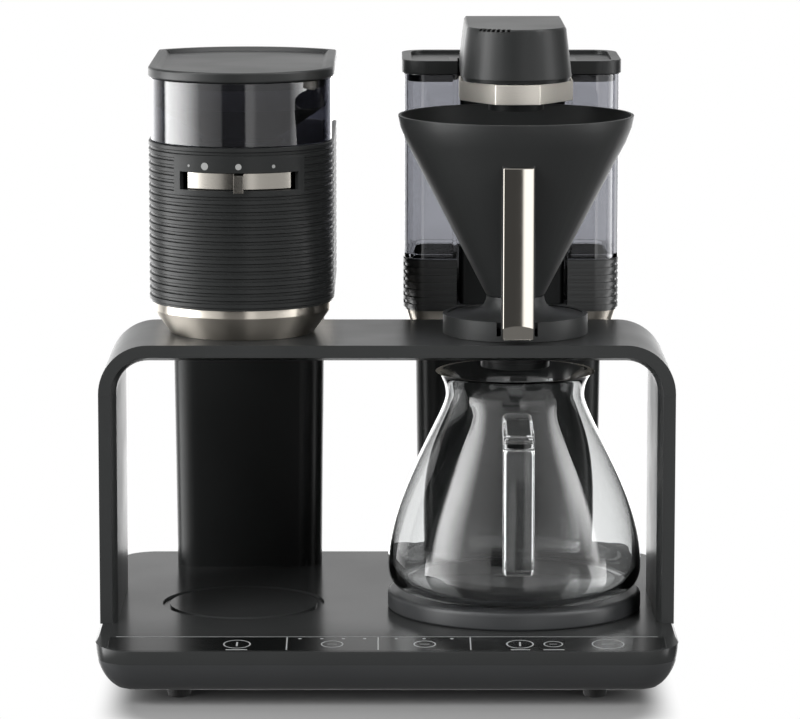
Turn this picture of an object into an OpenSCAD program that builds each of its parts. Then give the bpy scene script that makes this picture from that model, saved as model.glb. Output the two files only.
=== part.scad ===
// Drip coffee maker with a built-in grinder.
// Millimetres. X to the right, Y to the back, Z up.
// The origin is under the middle of the base, on the table.

/* [Base] */
// Width of the base
base_w = 350; // [340:1:400]
// Depth of the base
base_d = 298; // [290:1:340]
// Corner radius of the base, seen from above
base_r = 24; // [23:1:36]
// How far the rounded underside draws in
under_in = 21; // [10:1:21]
// Radius of the deck's top edge
edge_r = 1.5; // [0.5:0.1:2.5]
// Height of a foot
foot_h = 6; // [3:0.5:12]
// Diameter of a foot
foot_d = 15; // [10:1:24]
// Distance of the feet from the edges of the bottom cover
foot_in = 14; // [13:1:30]
// Thickness of the bottom cover
cover_t = 3; // [2.6:0.2:5]
// How far the bottom cover lies inside the base's edge
cover_in = 35; // [30:1:45]
// Height of the tub
tub_h = 19.4; // [17:0.2:30]
// Height of the deck
deck_h = 11.1; // [10:0.1:16]
// Wall of the tub and the deck
base_wall = 2.6; // [2:0.1:4]
// Thickness of the deck's top
deck_t = 3; // [2.6:0.1:4]
// Distance of the cover screws from the base's left and right sides
boss_in = 50; // [48:1:54]
// Distance of the cover screws from the base's front and back
boss_deep = 69; // [66:1:72]

/* [Controls] */
// Distance from the base's front edge to the crease where the strip starts to slope
strip_d = 31; // [26:1:40]
// Slope of the touch strip
strip_tilt = 5; // [0:0.5:6]
// Distance from the strip's ends to the base's sides
strip_side = 8; // [6:0.5:15]
// Margin of deck left in front of the strip
strip_lip = 2.5; // [1.5:0.5:5]
// Thickness of the strip's glass
strip_t = 2; // [1:0.2:3]
// Thickness of the circuit boards
board_t = 1.6; // [1:0.2:2.4]
// Distance from the touch board's ends to the strip's ends
touch_in = 17; // [12:1:67]
// Depth of the touch board
touch_d = 16; // [10:1:18]
// Length of the main board
main_w = 100; // [70:1:110]
// Depth of the main board
main_d = 62; // [50:1:70]
// Distance from the base's left side to the middle of the main board
main_side = 111; // [109:1:117]
// Distance from the base's back to the middle of the main board
main_back = 87; // [83:1:93]
// Distance from the main board's left end to its chip
chip_in = 20; // [16:1:21]
// Length of the chip
chip_w = 16; // [8:1:18]
// Depth of the chip
chip_d = 12; // [8:1:16]
// Height of the chip
chip_h = 4; // [2:0.5:6]
// Distance from the main board's right end to its relay
relay_in = 14; // [10:1:20]
// Distance from the main board's back to its relay
relay_back = 15; // [12:1:18]
// Length of the relay
relay_w = 26; // [20:1:28]
// Depth of the relay
relay_d = 18; // [12:1:20]
// Height of the relay and the capacitor
relay_h = 9; // [6:0.5:9]
// Radius of the capacitor
cap_r = 6; // [4:0.5:7]
// Distance from the main board's left end to the capacitor's axis
cap_in = 30; // [26:1:34]
// Distance from the main board's back to the capacitor's axis
cap_back = 19; // [15:1:21]

/* [Warming plate] */
// Distance from the base's right side to the brew axis
brew_side = 96; // [92:1:98]
// Distance from the base's front to the brew axis
brew_front = 123; // [119:1:127]
// Outer radius of the warming ring
plate_r = 78.5; // [76:0.5:82]
// Height of the warming plate over the deck
plate_h = 11.5; // [10:0.5:16]
// Radius of the hot plate
hot_r = 65; // [58:1:68]
// Thickness of the hot plate
hot_t = 2; // [1.5:0.1:3]
// Width of the ledge that carries the hot plate
hot_ledge = 6; // [3:0.5:8]
// Width of the ring heating element
element_w = 8; // [6:0.5:10]
// Height of the ring heating element
element_h = 6; // [4:0.5:7]
// Length of the element's pins
pin_len = 8; // [6:0.5:9]
// Radius of the element's pins
pin_r = 1.6; // [1:0.1:2]

/* [Frame] */
// Height of the bridge's top over the deck
frame_h = 171.5; // [168:0.5:190]
// Thickness of legs and bridge
frame_t = 10.5; // [9.5:0.5:14]
// Depth of legs and bridge
frame_d = 113; // [108:1:118]
// Distance from the base's front edge to the frame's front
frame_in = 67.7; // [62:0.1:70]
// Outer radius of the frame's bends
bend_r = 30; // [24:1:40]
// Length of straight leg that belongs to the bridge, below the bend
bend_tail = 1.2; // [0.5:0.1:6]
// Width of the bevel on the inner front edge
bevel_w = 3; // [1:0.5:4]
// Depth of the bevel on the inner front edge
bevel_d = 10; // [3:1:20]
// Diameter of the dowel pins in the seams
dowel_d = 5; // [3:0.5:6]
// Length of the dowel pins
dowel_l = 20; // [10:1:30]

/* [Grinder tower] */
// Distance from the base's left side to the grinder axis
grind_side = 85.5; // [82:0.5:89]
// Distance from the base's front to the grinder axis
grind_front = 132; // [129:1:135]
// Radius of the round front, which is half the tower's width
tower_r = 57; // [56:0.5:60]
// Distance from the base's back to the tower's back
tower_in = 19; // [14:1:22]
// Radius of the bowed back
tower_bow = 77; // [70:1:90]
// Height of the polished skirt
skirt_h = 19.6; // [17:0.1:22]
// How far the skirt draws in at its foot
skirt_in = 10.5; // [6:0.5:11]
// Height of the upright band at the skirt's top
skirt_band = 5; // [3:0.5:8]
// Height of the ribbed housing
housing_h = 99.4; // [98:0.2:110]
// Number of ribs on the housing
rib_n = 22; // [16:1:26]
// Depth of a rib
rib_t = 1.2; // [0.6:0.1:1.4]
// Wall of the housing
housing_wall = 3.2; // [2.8:0.1:3.6]
// Height of the bean hopper
hopper_h = 38.2; // [34:0.2:60]
// Wall of the bean hopper
hopper_wall = 2.2; // [1.6:0.1:3]
// How far the hopper stands inside the housing's face
hopper_in = 1.5; // [0.8:0.1:2]
// Height of the hopper lid's rim
lid_h = 6.5; // [5:0.5:10]
// Depth of the dish in the lids
dish_h = 2.5; // [1:0.5:3]
// Width of the lids' rims
lid_rim = 5; // [3:0.5:8]
// Depth of the lids' plugs
plug_h = 5; // [3:0.5:8]

/* [Grinder works] */
// Height of the grind slot over the foot of the housing
slot_up = 73.2; // [73:0.1:75]
// Height of the grind slot
slot_h = 11; // [9:0.5:12]
// Half angle of the grind slot
slot_a = 39; // [38:0.5:42]
// Half angle of the slider strip
slider_a = 36; // [30:1:37]
// Thickness of the slider strip
slider_t = 1.2; // [0.8:0.1:1.6]
// Width of the slider's bent tab
tab_w = 6; // [4:0.5:8]
// How far the tab stands out of the strip
tab_l = 7.5; // [5:0.5:9]
// How far the tab hangs below the slot
tab_drop = 1; // [0:0.5:3]
// Gear module
gear_m = 1.3333; // [1.3:0.01:1.36]
// Teeth of the burr gear
burr_teeth = 45; // [43:2:45]
// Teeth of the idler gear
idler_teeth = 36; // [36:2:38]
// Teeth of the motor pinion
pinion_teeth = 12; // [12:1:13]
// Height of the gears
gear_h = 8; // [5:0.5:9]
// Radius of the burr shaft
burr_shaft_r = 4; // [3:0.5:5]
// Radius of the idler pin
idler_pin_r = 3; // [2:0.5:4]
// Radius of the motor shaft
motor_shaft_r = 2.5; // [2:0.5:3]
// Radius of the motor
motor_r = 26; // [20:1:28]
// Height of the motor
motor_h = 50; // [40:1:54]
// Inner radius of the grounds chamber
chamber_r = 35; // [34:0.5:36]
// Radius of the grounds chute
chute_r = 7.5; // [6:0.5:8]

/* [Columns] */
// Distance from the base's back to the columns' back
column_back = 17; // [15:1:19]
// Depth of the columns
column_d = 36; // [34:1:40]
// Corner radius of the columns
column_r = 16; // [8:1:16]
// Wall of the columns
column_wall = 3; // [2:0.2:4]
// Width of the grinder's column at its top
grind_column_w = 98; // [90:1:104]
// Width of the tank's column at its top
tank_column_w = 120; // [110:1:122]
// How much narrower a column is at its foot
column_taper = 4; // [0:0.5:8]

/* [Water path] */
// Distance of the pump and the heater from the middle of the tank
heater_side = 26; // [24:1:28]
// Radius of the pump
pump_r = 13; // [9:0.5:14]
// Height of the pump
pump_h = 38; // [30:1:44]
// Width of the flow heater
heater_w = 40; // [30:1:44]
// Depth of the flow heater
heater_d = 26; // [20:1:28]
// Height of the flow heater
heater_h = 96; // [80:1:110]
// Height of the heater's outlet
outlet_h = 12; // [8:1:16]

/* [Tank tower] */
// Distance from the base's right side to the middle of the tank
tank_side = 96.5; // [93:0.5:99]
// Width of the tank
tank_w = 136; // [132:1:142]
// Distance from the brew axis to the tank's front
tank_gap = 68; // [66:1:72]
// Distance from the base's back to the tank's back
tank_in = 19; // [14:1:22]
// Corner radius of the tank
tank_r = 16; // [8:1:20]
// Height of the tank over its collar
tank_h = 116.5; // [100:0.5:140]
// Wall of the tank
tank_wall = 2.4; // [1.8:0.1:3]
// Height of the polished skirt under the collar
tank_skirt_h = 19.5; // [16:0.5:22]
// Height of the ribbed collar
collar_h = 33; // [26:0.5:40]
// Height of the tank lid's rim
tank_lid_h = 8.5; // [6:0.5:12]
// Number of ribs on the collar
collar_rib_n = 7; // [4:1:10]
// Wall of the collar, without its ribs
collar_wall = 2.2; // [1.6:0.1:3]
// Thickness of the collar's floor
collar_floor = 4; // [3:0.5:5]
// Stroke of the tank valve
valve_stroke = 4; // [2:0.5:5]

/* [Brew head] */
// Half width of the riser post
post_half = 33; // [28:0.5:33]
// Depth of the riser post
post_d = 12.5; // [11:0.5:14]
// Wall of the riser post
post_wall = 2.5; // [2:0.1:3]
// Half width of the head at its foot
head_r = 34; // [33.5:0.5:36]
// How far each side of the head leans in at its top
head_lean = 3.5; // [0:0.5:5]
// Height of the head's cover
head_h = 30.4; // [26:0.2:40]
// Wall of the head's cover
head_wall = 2.2; // [1.6:0.1:3]
// Thickness of the head's base plate
head_base_t = 2.5; // [2:0.1:4]
// Height of the polished band
band_h = 12.1; // [8:0.1:13]
// Wall of the polished band
band_t = 1.5; // [1:0.1:2]
// Half width of the band's front facet
band_front = 13.5; // [8:0.5:18]
// Length of the band's flanks behind the brew axis
band_len = 30; // [20:1:32]
// How far the band's front facet bulges
band_bow = 1.5; // [0.5:0.1:3]
// Number of vent slots in the head's front edge
vent_n = 7; // [4:1:8]
// Radius of the spray nozzle
nozzle_r = 17; // [12:0.5:20]
// Gap between the filter cone's rim and the spray nozzle
nozzle_gap = 3; // [2:0.5:5]
// Radius of the hot water tube
tube_r = 3.5; // [2.5:0.5:4]

/* [Filter] */
// Height of the filter cone's rim over the bridge
cone_h = 135; // [125:1:140]
// Radius of the cone's rim
cone_rim_r = 72.3; // [68:0.1:73]
// Height of the flared rim
cone_flare_h = 16; // [8:1:24]
// Radius of the cone under the flare
cone_top_r = 67.4; // [60:0.1:68]
// Radius of the cone's neck
cone_neck_r = 17; // [14:0.5:19]
// Height of the neck's upper end over the bridge
cone_neck_h = 23.5; // [20:0.5:26]
// Wall of the cone
cone_wall = 2.6; // [2:0.1:3.4]
// Outer radius of the stand ring
stand_r = 44.6; // [40:0.2:46]
// Height of the stand ring
stand_h = 12.4; // [10:0.2:14]
// Wall of the stand ring
stand_wall = 3; // [2:0.2:4]
// Width of the handle
handle_w = 20; // [14:0.5:24]
// Depth of the handle
handle_d = 13; // [9:0.5:14]
// Distance from the brew axis to the handle's front
handle_out = 62; // [59:0.5:63]
// Width of the polished handle trim
trim_w = 18.6; // [12:0.2:19]
// How far the trim's face bulges
trim_bow = 0.7; // [0.3:0.1:1.2]
// Height of the slope at the handle's lower end
handle_slope = 9; // [5:0.5:12]
// Thickness of the handle trim
trim_t = 1.2; // [0.8:0.1:2]

/* [Drip stop] */
// Radius of the drip stop's sleeve in the bridge
drip_r = 20; // [17:0.5:22]
// Depth of the drip stop under the bridge
drip_h = 10; // [8:0.5:11]
// Radius of the plunger's stem
plunger_r = 3; // [2:0.5:4]
// Stroke of the plunger
plunger_stroke = 3; // [2:0.5:4]

/* [Carafe] */
// Gap between the carafe's rim and the drip stop's button
rim_gap = 1.6; // [1:0.1:4]
// Largest radius of the carafe
carafe_r = 78.4; // [74:0.2:79]
// Height of the largest radius over the carafe's foot
belly_h = 15; // [14:1:22]
// Radius of the carafe's foot
carafe_foot_r = 66; // [60:1:70]
// Radius of the neck
neck_r = 42.6; // [38:0.2:46]
// Depth of the neck below the rim
neck_down = 14.5; // [11:0.5:18]
// Radius of the rim
rim_r = 49; // [46:0.2:52]
// Wall of the glass
glass_t = 2.4; // [1.8:0.1:3]
// Width of the carafe's handle
jug_handle_w = 19; // [14:0.5:22]
// Thickness of the carafe's handle
jug_handle_t = 11; // [8:0.5:14]
// Height of the handle's lower end over the carafe's foot
jug_handle_low = 24; // [20:1:34]
// Distance from the rim down to the upper end of the handle's bar
jug_drop = 25.9; // [22:0.1:34]
// How far the handle's upper arm rises towards the neck
jug_rise = 8; // [0:1:10]

/* [Clearances] */
// Gap where one piece fits in another
fit_gap = 0.1; // [0.05:0.01:0.2]
// Gap under and around a piece that lifts or slides away
lift_gap = 0.3; // [0.2:0.05:0.6]
// Radial clearance of a turning shaft
run_gap = 0.05; // [0.02:0.01:0.09]
// Room around pieces that pass each other
move_gap = 0.4; // [0.3:0.05:0.8]

/* [Hidden] */
$fn = 64;

black = "#26282a";
coal = "#1b1c1e";
steel = "#c9c6c0";
smoke = "#8f93a0";
clear = "#dfe6ea";
brass = "#b08d4a";
board_green = "#2f5d3a";
rubber = "#141414";

// Places over the base, from its sides, its front and its back
brew_x = base_w/2 - brew_side;
brew_y = brew_front - base_d/2;
grind_x = grind_side - base_w/2;
grind_y = grind_front - base_d/2;
tower_back = base_d/2 - tower_in - grind_y;
tank_x = base_w/2 - tank_side;
tank_front = brew_y + tank_gap;
tank_d = base_d/2 - tank_in - tank_front;
column_front = base_d/2 - column_back - column_d;
main_x = main_side - base_w/2;
main_y = base_d/2 - main_back;
strip_w = base_w - 2*strip_side;
touch_w = strip_w - 2*touch_in;

// Levels of the base
tub_z = foot_h + cover_t;
seam_z = tub_z + tub_h;
deck_z = seam_z + deck_h;
wide_z = deck_z - edge_r;
deck_under_z = deck_z - deck_t;
strip_y = strip_d - base_d/2;
cover_w = base_w - 2*cover_in;
cover_depth = base_d - 2*cover_in;
boss_r = 4.5;
screw_r = 1.9;
screw_head_r = 3.4;
screw_head_h = 2;
boss_x = base_w/2 - boss_in;
boss_y = base_d/2 - boss_deep;
groove_r = 50.4;
groove_w = 4.5;
groove_h = 1.5;
hose_hole_r = 10;
wire_hole_r = 6;
wire_y = column_front + column_wall + wire_hole_r + 1;

// Levels of the frame
bridge_z = deck_z + frame_h;
bridge_under_z = bridge_z - frame_t;
leg_top_z = bridge_z - bend_r - bend_tail;
frame_y = frame_in - base_d/2;
dowel_y = [frame_d*0.25, frame_d*0.75];
dowel_x = base_w/2 - frame_t + 4.2;
leg_screw_l = 16;
leg_screw_head_r = 2.4;

// Levels of the warming plate and the carafe
plate_z = deck_z + plate_h;
hot_z = plate_z - hot_t;
ledge_t = 3;
carafe_z = plate_z + lift_gap;

// Levels of the grinder tower
skirt_t = 2;
skirt_r = tower_r - 2.2;
skirt_top_z = bridge_z + skirt_h;
housing_top_z = skirt_top_z + housing_h;
hopper_z = housing_top_z + lift_gap;
hopper_top_z = hopper_z + hopper_h;
hopper_lid_z = hopper_top_z + lift_gap;
bore_r = tower_r - housing_wall;
slot_z = skirt_top_z + slot_up;
slider_r = bore_r - move_gap;
panel_low = 3;
panel_top = 9;
panel_a = 5;
slider_z = slot_z + 0.5;
slider_h = slot_h - 1;
ring_z = slot_z - 4.5;
ring_t = 3.7;
ring_r = bore_r - 3.8;
plate_t = 4;
chamber_h = 33;
gear_plate_z = ring_z - lift_gap - chamber_h - plate_t;
chamber_z = gear_plate_z + plate_t;
chamber_wall = 3;
hub_r = 9;
hub_h = 4;
gear_z = gear_plate_z - hub_h - 4 - gear_h;
idler_y = gear_m*(burr_teeth + idler_teeth)/2;
motor_y = idler_y + gear_m*(idler_teeth + pinion_teeth)/2;
gear_plate_end = motor_y + motor_r + 6;
chute_wall = 2;
duct_half = chute_r + chute_wall;
duct_y = sqrt(pow(bore_r - move_gap, 2) - pow(duct_half, 2)) - duct_half;
chute_end_r = chute_r + 2;
post_x = 32;
post_r = 4;
funnel_r = 24;
funnel_t = 1.8;
funnel_rim_z = hopper_z + 0.56*hopper_h;

// Levels of the tank tower
skirt_foot_z = bridge_z + 3.5 - tank_skirt_h;
collar_z = skirt_foot_z + tank_skirt_h;
collar_floor_z = collar_z + collar_floor;
collar_top_z = collar_z + collar_h;
tank_z = collar_floor_z + lift_gap;
tank_step_z = collar_top_z + lift_gap;
tank_top_z = tank_step_z + tank_h;
tank_lid_z = tank_top_z + lift_gap;
tank_floor_t = 3;
tank_floor_z = tank_z + tank_floor_t;
tank_foot_in = rib_t + collar_wall + fit_gap + lift_gap;
tank_mid_y = tank_front + tank_d/2;
tank_back_y = tank_front + tank_d;
post_y = brew_y + cone_rim_r + 1.5;
notch_half = head_r + 1;
notch_d = post_y + post_d + 4 - tank_front;
column_mid_y = column_front + column_d/2;
valve_y = tank_front + 0.66*tank_d;
valve_bore_r = 6;
valve_stem_r = 2.5;
valve_head_h = 3;
valve_head_r = 8;
spigot_r = valve_bore_r + 2;
seal_h = 1.2;
cage_r = 10;
cage_h = valve_stroke + 18;
cage_t = 2;

// Levels of the filter and the brew head
cone_z = bridge_z + lift_gap;
cone_rim_z = bridge_z + cone_h;
cone_flare_z = cone_rim_z - cone_flare_h;
cone_neck_z = bridge_z + cone_neck_h;
nozzle_z = cone_rim_z + nozzle_gap;
nozzle_h = 7;
nozzle_shaft_r = 5;
band_z = nozzle_z + 5.8;
head_base_z = band_z + band_h;
head_z = head_base_z + head_base_t;
head_top_z = head_z + head_h;
head_len = post_y + post_d + 1.2 - brew_y;
nozzle_motor_r = 18;
nozzle_motor_h = 18;
tube_y = post_y + post_d/2;
tube_low_z = collar_z - 8;
tube_top_z = head_z + nozzle_motor_h/2;

// Drip stop
drip_z = bridge_under_z - drip_h;
drip_flange_r = drip_r + 2.8;
button_r = 6;
button_h = 1.5;
button_z = drip_z - button_h - 0.2;
pocket_r = 8;
pocket_h = plunger_stroke + 5;
drip_head_r = 7;
drip_head_h = 3;
drip_seat_z = bridge_z - 7;

// Carafe
carafe_h = button_z - rim_gap - carafe_z;
jug_handle_top = carafe_h - jug_drop;

// Small helpers
function steps(a, b, n) = [for (i = [0:n]) a + (b - a)*i/n];
function bezier(p, t) = pow(1 - t, 3)*p[0] + 3*t*pow(1 - t, 2)*p[1] + 3*t*t*(1 - t)*p[2] + pow(t, 3)*p[3];
function curve(p, n) = [for (i = [1:n]) bezier(p, i/n)];

// How far the base's side lies inside its widest outline at a height
function base_in(z) = z > wide_z
    ? edge_r*(1 - sqrt(max(0, 1 - pow((z - wide_z)/edge_r, 2))))
    : under_in*(1 - sqrt(max(0, 1 - pow((wide_z - z)/(wide_z - tub_z), 2))));

// Half section of the base between two heights, from its corner's axis outwards
function base_section(z0, z1, n, inset) = concat(
    [[0, z0]],
    [for (z = steps(z0, z1, n)) [base_r - base_in(z) - inset, z]],
    [[0, z1]]);

module round_rect(w, d, r) {
    square([w - 2*r, d], center = true);
    square([w, d - 2*r], center = true);
    for (sx = [-1, 1], sy = [-1, 1])
        translate([sx*(w/2 - r), sy*(d/2 - r)]) circle(r);
}

// A solid with the base's outline, from the half section of its edge
module rim_body(pts) {
    z0 = pts[0][1];
    z1 = pts[len(pts) - 1][1];
    cw = base_w/2 - base_r;
    cd = base_d/2 - base_r;
    translate([-cw, -cd, z0]) cube([2*cw, 2*cd, z1 - z0]);
    for (side = [0, 1]) {
        mirror([side, 0, 0]) translate([cw, cd, 0]) rotate([90, 0, 0]) linear_extrude(2*cd) polygon(pts);
        mirror([0, side, 0]) translate([-cw, cd, 0]) rotate([90, 0, 90]) linear_extrude(2*cw) polygon(pts);
        for (end = [0, 1])
            mirror([side, 0, 0]) mirror([0, end, 0]) translate([cw, cd, 0])
                rotate_extrude(angle = 90) polygon(pts);
    }
}

module at_bosses() {
    for (sx = [-1, 1], sy = [-1, 1]) translate([sx*boss_x, sy*boss_y, 0]) children();
}

module at_strip() {
    translate([0, strip_y, deck_z]) rotate([strip_tilt, 0, 0]) children();
}

module at_brew() { translate([brew_x, brew_y, 0]) children(); }

module at_grinder() { translate([grind_x, grind_y, 0]) children(); }

module at_tank() { translate([tank_x, tank_mid_y, 0]) children(); }

module at_valve() { translate([tank_x, valve_y, 0]) children(); }

module tube(r_out, r_in, z, h) {
    translate([0, 0, z]) difference() {
        cylinder(r = r_out, h = h);
        translate([0, 0, -1]) cylinder(r = r_in, h = h + 2);
    }
}

module disc(r, z, h) { translate([0, 0, z]) cylinder(r = r, h = h); }

// Round front and straight flanks, from a list of [inset, height] going up
module flank_form(pts, r, length) {
    top = len(pts) - 1;
    front = concat([[0, pts[0][1]]], [for (p = pts) [r - p[0], p[1]]], [[0, pts[top][1]]]);
    flat = concat([for (p = pts) [r - p[0], p[1]]], [for (i = [top:-1:0]) [pts[i][0] - r, pts[i][1]]]);
    rotate([0, 0, 180]) rotate_extrude(angle = 180) polygon(front);
    translate([0, length, 0]) rotate([90, 0, 0]) linear_extrude(length) polygon(flat);
}

// Flank form whose back is bowed
module tower_form(pts, r) {
    top = len(pts) - 1;
    mid = tower_back - tower_bow;
    bowed = concat([[0, pts[0][1]]], [for (p = pts) [tower_bow - p[0], p[1]]], [[0, pts[top][1]]]);
    flat = concat([for (p = pts) [r - p[0], p[1]]], [for (i = [top:-1:0]) [pts[i][0] - r, pts[i][1]]]);
    flank_form(pts, r, mid);
    intersection() {
        translate([0, tower_back, 0]) rotate([90, 0, 0]) linear_extrude(tower_bow) polygon(flat);
        translate([0, mid, 0]) rotate_extrude() polygon(bowed);
    }
}

// Half section of a ribbed wall
function rib_section(z0, z1, n) = concat(
    [for (i = [0:n - 1]) let (p = (z1 - z0)/n, z = z0 + i*p)
        each [[rib_t, z], [rib_t, z + 0.3*p], [0, z + 0.42*p], [0, z + 0.88*p]]],
    [[rib_t, z1]]);

// Spur gear with straight-sided teeth; one tooth points along the angle
module gear(teeth, angle, bore) {
    pitch_r = gear_m*teeth/2;
    tip_r = pitch_r + 0.6*gear_m;
    root_r = pitch_r - 0.95*gear_m;
    step = 360/teeth;
    tooth = [[-0.24, root_r], [-0.13, tip_r], [0.13, tip_r], [0.24, root_r]];
    points = [for (i = [0:teeth - 1], k = tooth)
        let (a = angle + (i + k[0])*step) k[1]*[cos(a), sin(a)]];
    translate([0, 0, gear_z]) difference() {
        linear_extrude(gear_h) polygon(points);
        translate([0, 0, -1]) cylinder(r = bore, h = gear_h + 2);
    }
}

// One unbroken coil of round wire, its ends closed
module coil(r, wire_r, h, turns) {
    sides = 6;
    per_turn = 12;
    rings = turns*per_turn;
    rise = (h - 2*wire_r)/rings;
    points = [for (i = [0:rings], k = [0:sides - 1])
        let (a = 360*i/per_turn, b = 360*k/sides, q = r + wire_r*cos(b))
        [q*cos(a), q*sin(a), wire_r + i*rise + wire_r*sin(b)]];
    faces = concat(
        [[for (k = [0:sides - 1]) k]],
        [for (i = [0:rings - 1], k = [0:sides - 1]) let (n = (k + 1) % sides)
            each [[i*sides + k, (i + 1)*sides + n, i*sides + n],
                  [i*sides + k, (i + 1)*sides + k, (i + 1)*sides + n]]],
        [[for (k = [sides - 1:-1:0]) rings*sides + k]]);
    polyhedron(points, faces);
}

// Base

module base_tub() color(coal) {
    gland_r = 7;
    difference() {
        union() {
            difference() {
                rim_body(base_section(tub_z, seam_z, 8, 0));
                rim_body(base_section(tub_z + base_wall, seam_z + 0.5, 8, base_wall));
            }
            translate([-12, base_d/2 - under_in, tub_z + base_wall/2])
                cube([24, under_in - 2, tub_h - base_wall/2]);
        }
        translate([0, 0, tub_z - 1]) linear_extrude(base_wall + 2)
            square([2*boss_x - 30, 2*boss_y - 30], center = true);
        at_bosses() disc(screw_r + fit_gap, tub_z - 1, base_wall + 2);
        translate([0, base_d/2, seam_z - gland_r - 1.5]) rotate([90, 0, 0])
            cylinder(r = gland_r - 1.4 + fit_gap, h = under_in + 4);
    }
}

module mains_gland() color(rubber) {
    gland_r = 7;
    translate([0, base_d/2, seam_z - gland_r - 1.5]) rotate([90, 0, 0]) difference() {
        union() {
            cylinder(r = gland_r, h = 1.5);
            cylinder(r = gland_r - 1.4, h = under_in + 2);
        }
        translate([0, 0, -1]) cylinder(r = 3.6, h = under_in + 4);
    }
}

module strip_outline(inset) {
    linear_extrude(deck_z + 5)
        round_rect(base_w - 2*inset, base_d - 2*inset, base_r - inset);
}

// Block on the slope of the strip, from its back edge to beyond the base's front
module strip_block(gap, z, h) {
    at_strip() translate([-strip_w/2 - gap, -strip_d - 5, z]) cube([strip_w + 2*gap, strip_d + 4 + gap, h]);
}

// The wedge above the slope of the strip, over the base's whole width
module strip_slope() {
    at_strip() translate([-base_w/2 - 1, -strip_d - 5, 0]) cube([base_w + 2, strip_d + 5, 12]);
}

module touch_block(gap, h) {
    at_strip() translate([-touch_w/2 - gap, -strip_d/2 - touch_d/2 - gap, -strip_t - h])
        cube([touch_w + 2*gap, touch_d + 2*gap, h]);
}

module base_deck() color(black) {
    standoff_h = deck_under_z - seam_z - 2;
    difference() {
        union() {
            difference() {
                rim_body(base_section(seam_z, deck_z, 8, 0));
                intersection() {
                    rim_body(base_section(seam_z - 0.5, deck_under_z, 4, base_wall));
                    translate([-base_w/2, strip_y + 3, 0]) cube([base_w, base_d, deck_z]);
                }
            }
            at_bosses() disc(boss_r, tub_z + base_wall, deck_under_z - tub_z - base_wall + 0.5);
            at_main_board() disc(3, deck_under_z - standoff_h, standoff_h + 0.5);
        }
        strip_slope();
        intersection() {
            strip_block(fit_gap, -strip_t, 12);
            strip_outline(strip_lip - fit_gap);
        }
        touch_block(fit_gap, board_t + fit_gap);
        at_bosses() disc(screw_r + fit_gap, tub_z, deck_under_z - tub_z);
        at_brew() disc(hot_r - hot_ledge - 1, deck_under_z - 1, deck_t + 2);
        at_grinder() tube(groove_r, groove_r - groove_w, deck_z - groove_h, groove_h + 1);
        for (x = [grind_x, tank_x]) translate([x, column_mid_y, 0])
            disc(hose_hole_r, deck_under_z - 1, deck_t + 2);
        at_leg_screws() disc(screw_r + fit_gap, deck_under_z - 1, deck_t + 2);
    }
}

module bottom_cover() color(coal) {
    difference() {
        translate([0, 0, foot_h]) linear_extrude(cover_t) round_rect(cover_w, cover_depth, 10);
        at_bosses() {
            disc(screw_r + fit_gap, foot_h - 1, cover_t + 2);
            disc(screw_head_r + fit_gap, foot_h - 1, screw_head_h + 1);
        }
    }
}

module rubber_feet() color(rubber) {
    for (sx = [-1, 1], sy = [-1, 1])
        translate([sx*(cover_w/2 - foot_in), sy*(cover_depth/2 - foot_in + 4), 0])
            cylinder(d1 = foot_d - 1.5, d2 = foot_d, h = foot_h);
}

module cover_screws() color(steel) {
    at_bosses() {
        disc(screw_head_r, foot_h, screw_head_h);
        disc(screw_r, foot_h, cover_t + tub_h);
    }
}

module control_strip() color(rubber) {
    intersection() {
        strip_block(0, -strip_t, strip_t);
        strip_outline(strip_lip);
    }
}

module touch_board() color(board_green) touch_block(0, board_t);

module at_main_board() {
    for (sx = [-1, 1], sy = [-1, 1])
        translate([main_x + sx*(main_w/2 - 5), main_y + sy*(main_d/2 - 5), 0]) children();
}

module main_board() color(board_green) {
    top_z = seam_z + 2;
    low_z = top_z - board_t - relay_h;
    translate([main_x, main_y, 0]) {
        translate([-main_w/2, -main_d/2, top_z - board_t]) cube([main_w, main_d, board_t]);
        translate([chip_in - main_w/2, -chip_d, top_z]) cube([chip_w, chip_d, chip_h]);
        translate([main_w/2 - relay_in - relay_w, main_d/2 - relay_back - relay_d, low_z])
            cube([relay_w, relay_d, relay_h]);
        translate([cap_in - main_w/2, main_d/2 - cap_back, low_z]) cylinder(r = cap_r, h = relay_h);
    }
}

module warming_ring() color(black) {
    seat_r = hot_r + fit_gap;
    ledge_r = hot_r - hot_ledge;
    at_brew() rotate_extrude() polygon([
        [seat_r, plate_z], [seat_r, hot_z], [ledge_r, hot_z], [ledge_r, hot_z - ledge_t],
        [seat_r, hot_z - ledge_t - 1], [seat_r, deck_z], [plate_r - 1, deck_z], [plate_r, deck_z + 1],
        [plate_r, plate_z - 3], [plate_r - 1, plate_z - 1], [plate_r - 3, plate_z]]);
}

module hot_plate() color(coal) at_brew() disc(hot_r, hot_z, hot_t);

module heating_element() color(steel) at_brew() {
    mid_r = 0.65*hot_r;
    tube(mid_r + element_w/2, mid_r - element_w/2, hot_z - element_h, element_h);
    for (sx = [-1, 1]) translate([sx*element_w, mid_r, 0]) disc(pin_r, hot_z - element_h - pin_len, pin_len + 1);
}

// Frame

// Section of the frame's strip: its thickness along X from the inner face, its depth along Y
module frame_section(inner) {
    polygon([
        [inner + bevel_w, 0], [inner + frame_t, 0], [inner + frame_t, frame_d],
        [inner, frame_d], [inner, bevel_d]]);
}

module at_leg_screws() {
    for (sx = [-1, 1], y = dowel_y) translate([sx*dowel_x, frame_y + y, 0]) children();
}

module leg() {
    difference() {
        translate([base_w/2 - frame_t, frame_y, deck_z]) linear_extrude(leg_top_z - deck_z)
            frame_section(0);
        at_leg_screws() {
            disc(screw_r + fit_gap, deck_z - 1, leg_screw_l + 1);
            disc(dowel_d/2 + fit_gap, leg_top_z - dowel_l/2 - fit_gap, dowel_l);
        }
    }
}

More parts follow.
